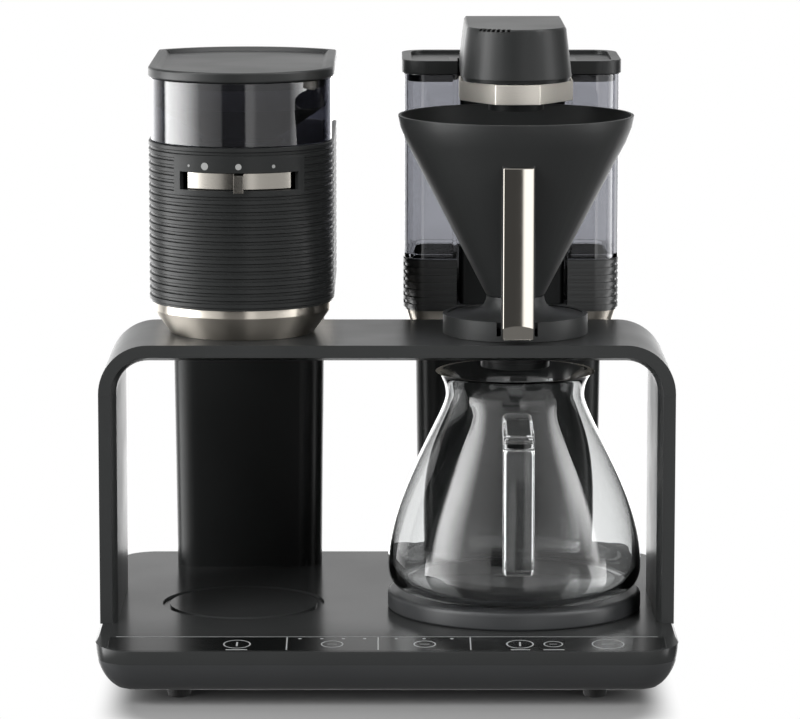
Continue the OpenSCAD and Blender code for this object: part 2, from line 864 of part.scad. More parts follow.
module left_leg() color(black) mirror([1, 0, 0]) leg();

module right_leg() color(black) leg();

module bridge() color(black) {
    bend_x = base_w/2 - bend_r;
    bend_z = bridge_z - bend_r;
    difference() {
        union() {
            for (side = [0, 1]) mirror([side, 0, 0]) translate([bend_x, frame_y, bend_z]) {
                rotate([90, 0, 0]) mirror([0, 0, 1]) rotate_extrude(angle = 90)
                    frame_section(bend_r - frame_t);
                translate([0, 0, -bend_tail]) linear_extrude(bend_tail) frame_section(bend_r - frame_t);
            }
            translate([-bend_x, frame_y, bend_z]) rotate([90, 0, 90]) linear_extrude(2*bend_x)
                rotate(90) mirror([0, 1]) frame_section(bend_r - frame_t);
        }
        at_brew() disc(drip_r + fit_gap, bridge_under_z - 1, frame_t + 2);
        at_grinder() disc(chute_end_r + fit_gap, bridge_under_z - 1, frame_t + 2);
        at_leg_screws() disc(dowel_d/2 + fit_gap, leg_top_z - 1, dowel_l/2 + 1 + fit_gap);
    }
}

module frame_pins() color(steel) {
    at_leg_screws() disc(dowel_d/2, leg_top_z - dowel_l/2, dowel_l);
}

module leg_screws() color(steel) {
    at_leg_screws() {
        disc(leg_screw_head_r, deck_under_z - screw_head_h, screw_head_h);
        disc(screw_r, deck_under_z - screw_head_h, deck_t + leg_screw_l);
    }
}

// Columns

module column_slice(w, z, inset) {
    translate([0, 0, z]) linear_extrude(0.01)
        round_rect(w - 2*inset, column_d - 2*inset, column_r - inset, $fn = 32);
}

module column(x, w, top_z) {
    translate([x, column_mid_y, 0]) difference() {
        hull() {
            column_slice(w - column_taper, deck_z, 0);
            column_slice(w, top_z - 0.01, 0);
        }
        hull() {
            column_slice(w - column_taper, deck_z - 1, column_wall);
            column_slice(w, top_z + 1, column_wall);
        }
    }
}

// The grinder's column is closed at its top, with a hole for the wires
module grinder_column() color(coal) {
    column(grind_x, grind_column_w, bridge_z);
    difference() {
        translate([grind_x, column_mid_y, bridge_z - column_wall]) linear_extrude(column_wall)
            round_rect(grind_column_w - column_wall, column_d - column_wall, column_r - column_wall/2);
        translate([grind_x, wire_y, 0]) disc(wire_hole_r, bridge_z - column_wall - 1, column_wall + 2);
    }
}

module tank_column() color(coal) column(tank_x, tank_column_w, skirt_foot_z);

// Grinder tower

module grinder_skirt() color(steel) at_grinder() difference() {
    tower_form([[skirt_in, bridge_z], [0, skirt_top_z - skirt_band], [0, skirt_top_z]], skirt_r);
    tower_form([[skirt_in + skirt_t, bridge_z + skirt_t], [skirt_t, skirt_top_z - skirt_band],
        [skirt_t, skirt_top_z + 1]], skirt_r);
    disc(chute_end_r + fit_gap, bridge_z - 1, skirt_t + 2);
    translate([0, wire_y - grind_y, 0]) disc(wire_hole_r, bridge_z - 1, skirt_t + 2);
}

// Sector of a ring about the grinder axis, centred on the front
module front_sector(r_out, r_in, z, h, half) {
    rotate([0, 0, -90 - half]) rotate_extrude(angle = 2*half)
        translate([r_in, z]) square([r_out - r_in, h]);
}

module grinder_housing() color(black) at_grinder() difference() {
    union() {
        tower_form(rib_section(skirt_top_z, housing_top_z, rib_n), tower_r);
        front_sector(tower_r + 0.1, bore_r + 1, slot_z - panel_low, slot_h + panel_low + panel_top,
            slot_a + panel_a);
    }
    tower_form([[housing_wall, skirt_top_z - 1], [housing_wall, housing_top_z - 3]], tower_r);
    disc(funnel_r + 2, housing_top_z - 4, 5);
    front_sector(tower_r + 2, bore_r - 1, slot_z, slot_h, slot_a);
}

module grind_slider() color(steel) at_grinder() {
    front_sector(slider_r, slider_r - slider_t, slider_z, slider_h, slider_a);
    tab_top = slider_z + slider_h - 0.6;
    translate([-tab_w/2, -slider_r - tab_l, tab_top - slider_t])
        cube([tab_w, tab_l + slider_t/2, slider_t]);
    translate([-tab_w/2, -slider_r - tab_l, slot_z - tab_drop])
        cube([tab_w, slider_t, tab_top - slot_z + tab_drop]);
}

module adjust_ring() color(coal) at_grinder() {
    arm_h = slider_z + slider_h - 2 - ring_z;
    tube(ring_r, 28, ring_z, ring_t);
    front_sector(slider_r - slider_t - 0.02, ring_r - 1, ring_z, arm_h, 20);
}

module upper_burr() color(steel) at_grinder() {
    low_z = ring_z - 2*chamber_h/3;
    outer_r = chamber_r - move_gap;
    rotate_extrude() polygon([
        [chamber_r - 7.7, low_z], [outer_r, low_z], [outer_r, ring_z], [chamber_r - 5, ring_z]]);
}

module lower_burr() color(steel) at_grinder() {
    disc(burr_shaft_r, gear_z - 3, ring_z - gear_z + 2);
    translate([0, 0, chamber_z + 4]) cylinder(r1 = chamber_r - 9, r2 = hub_r, h = chamber_h - 5);
}

module burr_gear() color(brass) at_grinder() gear(burr_teeth, 90, burr_shaft_r + 0.02);

module idler_gear() color(brass) at_grinder() translate([0, idler_y, 0])
    gear(idler_teeth, 270 + 180/idler_teeth, idler_pin_r + run_gap);

module motor_pinion() color(brass) at_grinder() translate([0, motor_y, 0]) {
    gear(pinion_teeth, 270, motor_shaft_r);
    disc(motor_shaft_r, gear_z - 1, chamber_z + 10 - gear_z);
}

module grinder_motor() color("#6f7276") at_grinder() translate([0, motor_y, 0]) difference() {
    union() {
        disc(motor_r, chamber_z, motor_h);
        disc(8, chamber_z + motor_h, 4);
    }
    disc(motor_shaft_r + run_gap, chamber_z - 1, 12);
}

module grinder_frame() color("#3a3c40") at_grinder() {
    difference() {
        union() {
            intersection() {
                translate([0, 0, gear_plate_z])
                    flank_form([[0, 0], [0, plate_t]], bore_r - move_gap, gear_plate_end);
                tower_form([[housing_wall + move_gap, gear_plate_z - 1],
                    [housing_wall + move_gap, chamber_z + 1]], tower_r);
            }
            tube(chamber_r + chamber_wall, chamber_r, chamber_z - 0.5, chamber_h + 0.5);
            disc(hub_r, gear_plate_z - hub_h, hub_h + plate_t);
            translate([-duct_half, -duct_y - duct_half, chamber_z - 0.5])
                cube([2*duct_half, duct_y + duct_half - chamber_r - 1, 13.5]);
            translate([0, idler_y, 0]) disc(idler_pin_r, gear_z - 2, gear_plate_z - gear_z + 3);
            for (sx = [-1, 1], y = [-20, idler_y + 8])
                translate([sx*post_x, y, 0])
                    disc(post_r, bridge_z + skirt_t, gear_plate_z - bridge_z - skirt_t + 1);
        }
        disc(burr_shaft_r + run_gap, gear_plate_z - hub_h - 1, hub_h + plate_t + 2);
        translate([0, motor_y, 0]) disc(motor_shaft_r + 2, gear_plate_z - 1, plate_t + 2);
        translate([-chute_r, -duct_y, chamber_z]) cube([2*chute_r, duct_y - chamber_r + 3, 11]);
        translate([0, -duct_y, 0]) disc(chute_r, gear_plate_z - 1, plate_t + 12);
    }
}

module grounds_chute() color(coal) at_grinder() {
    low_z = bridge_z + skirt_t;
    bend_z = gear_z - 2;
    difference() {
        union() {
            translate([0, -duct_y, 0]) disc(chute_r + chute_wall, bend_z, gear_plate_z - bend_z);
            hull() {
                translate([0, -duct_y, bend_z - 0.01])
                    cylinder(r = chute_r + chute_wall, h = 0.02, $fn = 32);
                translate([0, 0, low_z]) cylinder(r = chute_end_r, h = 0.02, $fn = 32);
            }
            disc(chute_end_r, bridge_under_z, low_z - bridge_under_z + 0.01);
        }
        translate([0, -duct_y, 0]) disc(chute_r, bend_z, gear_plate_z - bend_z + 1);
        hull() {
            translate([0, -duct_y, bend_z]) cylinder(r = chute_r, h = 0.02, $fn = 32);
            translate([0, 0, low_z - 0.02]) cylinder(r = chute_r, h = 0.02, $fn = 32);
        }
        disc(chute_r, bridge_under_z - 1, low_z - bridge_under_z + 1);
    }
}

module bean_hopper() color(smoke) at_grinder() difference() {
    tower_form([[hopper_in, hopper_z], [hopper_in, hopper_top_z]], tower_r);
    tower_form([[hopper_in + hopper_wall, hopper_z - 1], [hopper_in + hopper_wall, hopper_top_z + 1]],
        tower_r);
}

// Outline of the funnel's mouth, as a thin slice
module funnel_slice(z, inset) {
    side = hopper_in + hopper_wall + fit_gap + inset;
    half = tower_r - side;
    translate([0, 0, z]) linear_extrude(0.02) {
        circle(half, $fn = 48);
        intersection() {
            translate([-half, 0]) square([2*half, tower_back]);
            translate([0, tower_back - tower_bow]) circle(tower_bow - side, $fn = 64);
        }
    }
}

module hopper_funnel() color(coal) at_grinder() {
    low_z = hopper_z + 2;
    spout_z = ring_z + ring_t + 2;
    difference() {
        union() {
            hull() {
                funnel_slice(funnel_rim_z - 0.02, 0);
                translate([0, 0, low_z]) cylinder(r = funnel_r, h = 0.02, $fn = 48);
            }
            disc(funnel_r, spout_z, low_z - spout_z + 0.02);
        }
        hull() {
            funnel_slice(funnel_rim_z + 0.5, funnel_t);
            translate([0, 0, low_z + 1]) cylinder(r = funnel_r - funnel_t, h = 0.02, $fn = 48);
        }
        disc(funnel_r - funnel_t, spout_z - 1, low_z - spout_z + 2.02);
    }
}

module hopper_lid() color(black) at_grinder() {
    top_z = hopper_lid_z + lid_h;
    dish_z = top_z - dish_h;
    plug_in = hopper_in + hopper_wall + lift_gap;
    difference() {
        tower_form([[0.8, hopper_lid_z], [0, hopper_lid_z + 0.8], [0, top_z - 0.8], [0.8, top_z]], tower_r);
        tower_form([[lid_rim + dish_h, dish_z], [lid_rim, top_z + 0.01]], tower_r);
    }
    difference() {
        tower_form([[plug_in, hopper_lid_z - plug_h], [plug_in, hopper_lid_z + 0.5]], tower_r);
        tower_form([[plug_in + 2, hopper_lid_z - plug_h - 1], [plug_in + 2, hopper_lid_z]], tower_r);
    }
}

// Tank tower

// Outline of the tank with its notch for the riser post
module tank_outline(inset, notch) {
    difference() {
        round_rect(tank_w - 2*inset, tank_d - 2*inset, tank_r - inset);
        translate([brew_x - tank_x - notch_half - notch, -tank_d/2 - 1])
            square([2*(notch_half + notch), notch_d + 1 + notch]);
    }
}

module tank_skirt_slice(z, w, front, back, inset) {
    translate([tank_x, (front + back)/2, z]) linear_extrude(0.02)
        round_rect(w - 2*inset, back - front - 2*inset, 14 - inset, $fn = 32);
}

module tank_skirt() color(steel) {
    foot_front = tank_front + 8;
    foot_back = column_front + column_d;
    foot_w = tank_column_w + 2;
    difference() {
        hull() {
            tank_skirt_slice(skirt_foot_z, foot_w, foot_front, foot_back, 0);
            tank_skirt_slice(collar_z - 0.02, tank_w - 3, tank_front + 1.5, tank_back_y - 1.5, 0);
        }
        hull() {
            tank_skirt_slice(skirt_foot_z + 2, foot_w, foot_front, foot_back, 2);
            tank_skirt_slice(collar_z + 1, tank_w - 3, tank_front + 1.5, tank_back_y - 1.5, 2);
        }
        translate([tank_x, column_mid_y, 0]) disc(hose_hole_r + 4, skirt_foot_z - 1, 4);
        translate([tank_x + heater_side, column_mid_y, 0]) disc(hose_hole_r - 3, skirt_foot_z - 1, 4);
    }
}

module tank_collar() color(black) {
    pitch = collar_h/collar_rib_n;
    difference() {
        at_tank() {
            translate([0, 0, collar_z]) linear_extrude(collar_h)
                round_rect(tank_w - 2*rib_t, tank_d - 2*rib_t, tank_r - rib_t);
            for (i = [0:collar_rib_n - 1]) translate([0, 0, collar_z + (i + 0.35)*pitch])
                linear_extrude(0.5*pitch) round_rect(tank_w, tank_d, tank_r);
        }
        at_tank() translate([0, 0, collar_floor_z]) linear_extrude(collar_h)
            round_rect(tank_w - 2*rib_t - 2*collar_wall, tank_d - 2*rib_t - 2*collar_wall,
                tank_r - rib_t - collar_wall);
        translate([brew_x - notch_half, tank_front - 1, collar_floor_z])
            cube([2*notch_half, notch_d, collar_h]);
        at_valve() disc(spigot_r + lift_gap, collar_z - 1, collar_floor + 2);
        translate([brew_x, tube_y, 0]) disc(tube_r + fit_gap, collar_z - 1, collar_floor + 2);
    }
}

module water_tank() color(smoke) {
    foot_in_all = tank_foot_in + tank_wall;
    difference() {
        union() {
            at_tank() translate([0, 0, tank_z]) linear_extrude(tank_step_z - tank_z + 1)
                tank_outline(tank_foot_in, 0);
            at_tank() translate([0, 0, tank_step_z]) linear_extrude(tank_h) tank_outline(0, 0);
            at_valve() disc(spigot_r, collar_z, tank_z - collar_z + 1);
        }
        at_tank() translate([0, 0, tank_floor_z]) linear_extrude(tank_h + collar_h)
            tank_outline(foot_in_all, tank_wall);
        at_tank() translate([0, 0, tank_step_z + tank_wall]) linear_extrude(tank_h)
            tank_outline(tank_wall, tank_wall);
        at_valve() disc(valve_bore_r, collar_z - 1, tank_floor_z - collar_z + 2);
    }
    at_valve() difference() {
        disc(cage_r + 2, tank_floor_z - 0.5, cage_h + 0.5);
        disc(cage_r, tank_floor_z - 1, cage_h - cage_t + 1);
        disc(valve_stem_r + run_gap, tank_floor_z, cage_h + 1);
        for (a = [0, 90]) rotate([0, 0, a])
            translate([-cage_r - 3, -5, tank_floor_z]) cube([2*cage_r + 6, 10, 12]);
    }
}

module valve_seal() color(rubber) at_valve() tube(valve_head_r, valve_bore_r, tank_floor_z, seal_h);

module tank_valve() color(brass) at_valve() {
    head_z0 = tank_floor_z + seal_h + 0.1;
    disc(valve_stem_r, collar_z + 2, tank_floor_z + cage_h + 2 - collar_z - 2);
    disc(valve_head_r, head_z0, valve_head_h);
}

module valve_spring() color(steel) at_valve() {
    low_z = tank_floor_z + seal_h + 0.1 + valve_head_h + 0.1;
    translate([0, 0, low_z]) coil(5.5, 0.6, tank_floor_z + cage_h - cage_t - low_z - 0.1, 5);
}

module tank_lid() color(black) {
    top_z = tank_lid_z + tank_lid_h;
    inner = tank_wall + lift_gap;
    at_tank() difference() {
        translate([0, 0, tank_lid_z]) linear_extrude(tank_lid_h) tank_outline(-1, -0.4);
        translate([0, 0, top_z - dish_h]) linear_extrude(dish_h + 1) tank_outline(lid_rim, lid_rim);
    }
    at_tank() difference() {
        translate([0, 0, tank_lid_z - plug_h]) linear_extrude(plug_h + 0.5) tank_outline(inner, inner);
        translate([0, 0, tank_lid_z - plug_h - 1]) linear_extrude(plug_h + 1)
            tank_outline(inner + 2, inner + 2);
    }
}

module pump() color("#55585c") translate([tank_x - heater_side, column_mid_y, 0]) {
    disc(pump_r, deck_z, pump_h);
    disc(0.7*pump_r, deck_z + pump_h, 0.4*pump_h);
    disc(0.25*pump_r, deck_z + 1.4*pump_h, 0.25*pump_h);
}

module flow_heater() color("#8d8f92") translate([tank_x + heater_side, column_mid_y, 0]) {
    translate([-heater_w/2, -heater_d/2, deck_z]) cube([heater_w, heater_d, heater_h]);
    disc(tube_r + 2.5, deck_z + heater_h, outlet_h);
}

module riser_post() color(coal) {
    post_z = collar_floor_z;
    post_h = head_base_z - post_z;
    translate([brew_x, tube_y, post_z]) linear_extrude(post_h) difference() {
        round_rect(2*post_half, post_d, 4);
        round_rect(2*post_half - 2*post_wall, post_d - 2*post_wall, 2);
    }
}

// Rigid tube with round elbows along its corner points
module pipe(points, r) {
    for (i = [0:len(points) - 2]) {
        v = points[i + 1] - points[i];
        translate(points[i]) rotate([0, acos(v[2]/norm(v)), atan2(v[1], v[0])])
            cylinder(r = r, h = norm(v));
    }
    for (i = [1:len(points) - 2]) translate(points[i]) sphere(r + 0.8);
}

module hot_water_tube() color("#d8d4c8") {
    heater_x = tank_x + heater_side;
    heater_top = deck_z + heater_h + outlet_h;
    pipe([
        [heater_x, column_mid_y, heater_top], [heater_x, column_mid_y, tube_low_z],
        [brew_x, tube_y, tube_low_z], [brew_x, tube_y, tube_top_z],
        [brew_x, brew_y + nozzle_motor_r, tube_top_z]], tube_r);
}

// Brew head

module head_cover() color(black) {
    slot_step = 6.2;
    at_brew() difference() {
        flank_form([[0, head_z], [head_lean, head_top_z - 1.5], [head_lean + 1.2, head_top_z]],
            head_r, head_len);
        flank_form([[head_wall, head_z - 1], [head_lean + head_wall, head_top_z - head_wall - 1]],
            head_r, head_len - head_wall);
        for (i = [0:vent_n - 1]) rotate([0, 0, -48 + i*slot_step])
            translate([-1, -head_r + head_lean - 1, head_top_z - 1.6]) cube([2, 5, 3]);
    }
}

module head_base() color(coal) at_brew() difference() {
    flank_form([[1.2, head_base_z], [1.2, head_z]], head_r, head_len);
    disc(nozzle_shaft_r + run_gap, head_base_z - 1, head_base_t + 2);
    translate([0, tube_y - brew_y, 0]) disc(tube_r + 0.5, head_base_z - 1, head_base_t + 2);
}

// Outline of the polished band: a narrow front facet and two swept flanks
module band_outline(inset) {
    half = head_r + 0.6 - inset;
    front = head_r + 1 - inset;
    facet = band_front - 0.4*inset;
    polygon(concat(
        [for (t = steps(-1, 1, 10)) [t*facet, -front - band_bow*(1 - t*t)]],
        [[half, -2], [half, band_len - inset], [-half, band_len - inset], [-half, -2]]));
}

module steel_band() color(steel) at_brew() translate([0, 0, band_z]) linear_extrude(band_h) difference() {
    band_outline(0);
    band_outline(band_t);
}

module spray_nozzle() color(coal) at_brew() difference() {
    union() {
        disc(nozzle_r, nozzle_z, nozzle_h);
        disc(nozzle_shaft_r, nozzle_z + nozzle_h - 0.5, head_z + 6 - nozzle_z - nozzle_h);
        disc(nozzle_r - 7, nozzle_z + nozzle_h - 0.5, 4);
    }
    for (i = [0:7]) rotate([0, 0, 45*i]) translate([nozzle_r - 5, 0, 0])
        disc(1.4, nozzle_z - 1, nozzle_h + 2);
}

module nozzle_motor() color("#55585c") at_brew() difference() {
    disc(nozzle_motor_r, head_z, nozzle_motor_h);
    disc(nozzle_shaft_r + run_gap, head_z - 1, 8);
}

// Filter

function cone_section(inset) = [
    [cone_neck_r - inset, cone_neck_z], [cone_neck_r + 1 - inset, cone_neck_z + 0.5],
    [cone_top_r - inset, cone_flare_z],
    [cone_top_r + 0.7*(cone_rim_r - cone_top_r) - inset, cone_rim_z - 0.45*cone_flare_h],
    [cone_rim_r - inset, cone_rim_z]];

// The cone's outside as a full solid, grown by a gap
module cone_solid(gap) {
    rotate_extrude() polygon(concat([[0, cone_neck_z]], cone_section(-gap), [[0, cone_rim_z]]));
}

module filter_cone() color(black) at_brew() difference() {
    union() {
        cone_solid(0);
        disc(cone_neck_r - 1, bridge_z + stand_h - 1, cone_neck_z - bridge_z - stand_h + 1.5);
    }
    translate([0, 0, cone_wall]) rotate_extrude()
        polygon(concat([[0, cone_neck_z]], cone_section(cone_wall - 1), [[0, cone_rim_z]]));
    disc(4, bridge_z, cone_h);
}

// Side view of the handle: upright front, sloped back at its lower end
module handle_side(front, back, z0, z1, w) {
    translate([-w/2, 0, 0]) rotate([90, 0, 90]) linear_extrude(w) polygon([
        [-front + 0.4*handle_slope, z0], [-front, z0 + handle_slope], [-front, z1], [-back, z1],
        [-back, z0]]);
}

module cone_stand() color(black) at_brew() difference() {
    web_z = bridge_z + stand_h - 1;
    seat_r = cone_neck_r - 1 + fit_gap;
    hub_z = cone_neck_z - fit_gap;
    rotate_extrude() polygon(concat(
        [[seat_r, web_z - 2], [seat_r, hub_z], [cone_neck_r + 0.6, hub_z]],
        curve([[cone_neck_r + 0.6, hub_z], [cone_neck_r + 1.2, web_z + 3],
            [cone_neck_r + 9, web_z + 1.2], [stand_r - stand_wall, web_z + 0.4]], 8),
        [[stand_r - stand_wall, web_z + 1], [stand_r, web_z + 1], [stand_r, cone_z],
        [stand_r - stand_wall, cone_z], [stand_r - stand_wall, web_z - 3]]));
    translate([-handle_w/2 - 2.5, -stand_r - 1, bridge_z + 0.3*stand_h])
        cube([handle_w + 5, stand_wall + 3, stand_h]);
}

module cone_handle() color(coal) at_brew() difference() {
    handle_side(handle_out, handle_out - handle_d, bridge_z + 4, cone_flare_z - 8, handle_w);
    cone_solid(fit_gap/2);
}

module handle_trim() color(steel) at_brew() difference() {
    low_z = bridge_z + 4;
    top_z = cone_flare_z - 10.5;
    face = handle_out + trim_t + trim_bow;
    intersection() {
        handle_side(face, handle_out - handle_d, low_z, top_z, trim_w);
        translate([0, 0, low_z]) linear_extrude(top_z - low_z) polygon(concat(
            [for (t = steps(-1, 1, 12)) [t*trim_w/2, -face + trim_bow*t*t]],
            [[trim_w/2, -handle_out + handle_d], [-trim_w/2, -handle_out + handle_d]]));
    }
    handle_side(handle_out + fit_gap/2, handle_out - handle_d - 1, low_z, top_z + 1, trim_w + 2);
    cone_solid(fit_gap/2);
}

// Drip stop

module drip_housing() color(coal) at_brew() difference() {
    union() {
        disc(drip_r, bridge_under_z - 0.5, frame_t + 0.5);
        disc(drip_flange_r, drip_z + 0.4*drip_h, 0.6*drip_h);
        disc(drip_flange_r - 1.6, drip_z, 0.5*drip_h);
    }
    translate([0, 0, drip_seat_z])
        cylinder(r1 = drip_head_r + 2, r2 = drip_r - 2, h = bridge_z - drip_seat_z + 0.01);
    disc(plunger_r + run_gap, drip_z, bridge_z - drip_z);
    for (i = [0:3]) rotate([0, 0, 90*i]) translate([plunger_r + 2.2, 0, 0])
        disc(1.3, drip_z, bridge_z - drip_z);
    disc(pocket_r, drip_z - 1, pocket_h + 1);
}

module drip_plunger() color("#3a3c40") at_brew() {
    disc(plunger_r, button_z, drip_seat_z - button_z);
    disc(drip_head_r, drip_seat_z + 0.1, drip_head_h);
    disc(plunger_r, drip_seat_z - 0.5, 1);
    disc(button_r, button_z, button_h);
}

module drip_spring() color(steel) at_brew() {
    low_z = button_z + button_h + 0.1;
    translate([0, 0, low_z]) coil(5.6, 0.5, drip_z + pocket_h - low_z - 0.1, 4);
}

// Carafe

// Half section of the glass from its foot to its rim
function carafe_section(inset) = let (
    belly = carafe_z + belly_h,
    neck = carafe_z + carafe_h - neck_down,
    rim = carafe_z + carafe_h,
    rb = carafe_r - inset,
    rn = neck_r - inset,
    rr = rim_r - inset,
    rf = carafe_foot_r - inset)
    concat([[rf, carafe_z]],
        curve([[rf, carafe_z], [rf + 8, carafe_z], [rb, belly - 9], [rb, belly]], 5),
        curve([[rb, belly], [rb, belly + 44], [rn, neck - 12], [rn, neck]], 12),
        curve([[rn, neck], [rn, neck + 7], [rr - 3, rim - 1], [rr, rim]], 5));

module carafe_solid(inset) {
    rotate_extrude() polygon(concat([[0, carafe_z]], carafe_section(inset), [[0, carafe_z + carafe_h]]));
}

module carafe_glass() color(clear) at_brew() difference() {
    carafe_solid(0);
    translate([0, 0, 3]) carafe_solid(glass_t);
}

module carafe_handle() color(clear) at_brew() {
    back = carafe_r + 0.6;
    front = back + jug_handle_t;
    low_z = carafe_z + jug_handle_low;
    top_z = carafe_z + jug_handle_top;
    arm_h = 0.9*jug_handle_t;
    neck_y = neck_r - 4;
    arm_z = top_z + jug_rise;
    difference() {
        translate([-jug_handle_w/2, 0, 0]) rotate([90, 0, 90]) linear_extrude(jug_handle_w) polygon([
            [-front, low_z], [-front, top_z - 4], [-front + 4, top_z], [-neck_y, arm_z],
            [-neck_y, arm_z - arm_h], [-back, top_z - arm_h], [-back, low_z + arm_h],
            [-back + 8, low_z + arm_h], [-back + 8, low_z]]);
        carafe_solid(0);
    }
}

base_tub();
base_deck();
bottom_cover();
rubber_feet();
control_strip();
touch_board();
main_board();
mains_gland();
cover_screws();
warming_ring();
hot_plate();
heating_element();
left_leg();
right_leg();
bridge();
frame_pins();
leg_screws();
grinder_column();
grinder_skirt();
grinder_housing();
grind_slider();
adjust_ring();
upper_burr();
lower_burr();
burr_gear();
idler_gear();
grinder_motor();
motor_pinion();
grinder_frame();
grounds_chute();
bean_hopper();
hopper_funnel();
hopper_lid();
tank_column();
tank_skirt();
tank_collar();
water_tank();
tank_valve();
valve_spring();
valve_seal();
tank_lid();
pump();
flow_heater();
riser_post();
hot_water_tube();
head_cover();
head_base();
steel_band();
spray_nozzle();
nozzle_motor();
filter_cone();
cone_stand();
cone_handle();
handle_trim();
drip_housing();
drip_plunger();
drip_spring();
carafe_glass();
carafe_handle();
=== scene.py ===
"""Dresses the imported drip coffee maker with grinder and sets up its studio.

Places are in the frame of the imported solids: X to the right, Y to the back, Z up. The sub-assemblies hold
their sizes in millimetres, and the studio holds its own in metres.
"""
from __future__ import annotations

import logging
import math
from dataclasses import dataclass, field
from enum import Enum
from typing import Any, Callable, Sequence

import bmesh
import bpy
from mathutils import Matrix, Vector

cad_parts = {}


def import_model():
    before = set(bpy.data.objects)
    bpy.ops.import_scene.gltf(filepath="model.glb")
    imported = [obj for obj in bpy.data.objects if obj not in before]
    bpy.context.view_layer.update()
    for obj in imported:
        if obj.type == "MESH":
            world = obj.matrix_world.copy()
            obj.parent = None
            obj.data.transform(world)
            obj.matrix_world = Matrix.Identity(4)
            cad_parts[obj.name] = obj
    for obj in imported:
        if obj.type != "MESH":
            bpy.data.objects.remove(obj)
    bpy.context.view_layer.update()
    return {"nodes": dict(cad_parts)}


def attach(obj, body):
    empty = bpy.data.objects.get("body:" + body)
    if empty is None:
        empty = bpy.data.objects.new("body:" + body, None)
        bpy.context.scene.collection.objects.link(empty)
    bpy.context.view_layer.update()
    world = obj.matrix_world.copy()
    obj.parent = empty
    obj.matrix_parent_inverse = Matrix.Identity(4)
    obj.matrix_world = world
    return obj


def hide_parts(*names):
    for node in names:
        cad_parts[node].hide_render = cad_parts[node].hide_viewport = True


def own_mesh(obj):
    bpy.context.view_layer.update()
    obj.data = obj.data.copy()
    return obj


LOG = logging.getLogger("coffee_maker")
MM = 0.001

# Upright axis through the cone, the drip stop and the carafe, in millimetres
BREW_AXIS = (79.0, -26.0)

# Colour sockets of the Mix node, which share their names with its other sockets
MIX_A = 6
MIX_B = 7
MIX_RESULT = 2

# How edges are joined, rounded and smoothed; points closer than JOIN_DIST metres become one
JOIN_DIST = 1e-6
FLAT_DEG = 0.4
ROUND_DEG = 35
ROUND_STEPS = 2
SHARP_DEG = 32

# Sides of the printed rings and dots
RING_SIDES = 40
DOT_SIDES = 24


def linear(hex_code: str) -> tuple[float, float, float, float]:
    """Turn an sRGB hex colour into linear values.

    Args:
        hex_code: Colour such as "#26282a".

    Returns:
        Red, green, blue and alpha, in linear light.
    """
    srgb = [int(hex_code[i:i + 2], 16) / 255 for i in (1, 3, 5)]
    light = [v / 12.92 if v <= 0.04045 else ((v + 0.055) / 1.055) ** 2.4 for v in srgb]
    return light[0], light[1], light[2], 1.0


def toned(hex_code: str, share: float) -> tuple[float, float, float, float]:
    """Return an sRGB hex colour in linear light, times a share."""
    red, green, blue, alpha = linear(hex_code)
    return red * share, green * share, blue * share, alpha


def grey(level: float) -> tuple[float, float, float, float]:
    """Return a grey of a level in linear light."""
    return level, level, level, 1.0


def add_node(tree: bpy.types.NodeTree, kind: str, inputs: dict[Any, Any] | None = None,
             **settings: Any) -> bpy.types.Node:
    """Add one node with its settings, values and links.

    Args:
        tree: Node tree that gets the node.
        kind: Blender's name of the node type.
        inputs: Socket name or index to a value, or to the output socket that feeds it.
        **settings: Attributes of the node itself.

    Returns:
        The new node.
    """
    node = tree.nodes.new(kind)
    for name, value in settings.items():
        setattr(node, name, value)
    for socket, value in (inputs or {}).items():
        if isinstance(value, bpy.types.NodeSocket):
            tree.links.new(value, node.inputs[socket])
        else:
            node.inputs[socket].default_value = value
    return node


class Along(Enum):
    """Direction in which a metal was brushed, as the pattern's scale on X, Y and Z."""

    X = (0.04, 1.0, 1.0)
    Z = (1.0, 1.0, 0.04)


class Edge(Enum):
    """Width of an edge's rounding in millimetres."""

    NONE = 0.0
    SEAL = 0.2
    SHEET = 0.3
    RIB = 0.35
    FINE = 0.4
    PLAIN = 0.5
    SOFT = 0.6
    TRIM = 0.7
    FOOT = 0.8


@dataclass(frozen=True)
class Finish:
    """A surface finish, made into a Blender material once."""

    name: str
    colour: str
    roughness: float
    slot: str

    def material(self) -> bpy.types.Material:
        """Return the finish's material, making it on first use."""
        return bpy.data.materials.get(self.name) or self._make()

    def _start(self) -> tuple[bpy.types.Material, bpy.types.NodeTree, bpy.types.Node, bpy.types.NodeSocket]:
        """Make an empty material with a Principled shader.

        Returns:
            The material, its tree, its shader and the Object coordinates.
        """
        material = bpy.data.materials.new(self.name)
        material.use_nodes = True
        tree = material.node_tree
        tree.nodes.clear()
        shader = add_node(tree, "ShaderNodeBsdfPrincipled", {
            "Base Color": linear(self.colour), "Roughness": self.roughness})
        add_node(tree, "ShaderNodeOutputMaterial", {"Surface": shader.outputs["BSDF"]})
        place = add_node(tree, "ShaderNodeTexCoord").outputs["Object"]
        return material, tree, shader, place

    def _make(self) -> bpy.types.Material:
        """Make the material; each kind of finish has its own way."""
        raise NotImplementedError


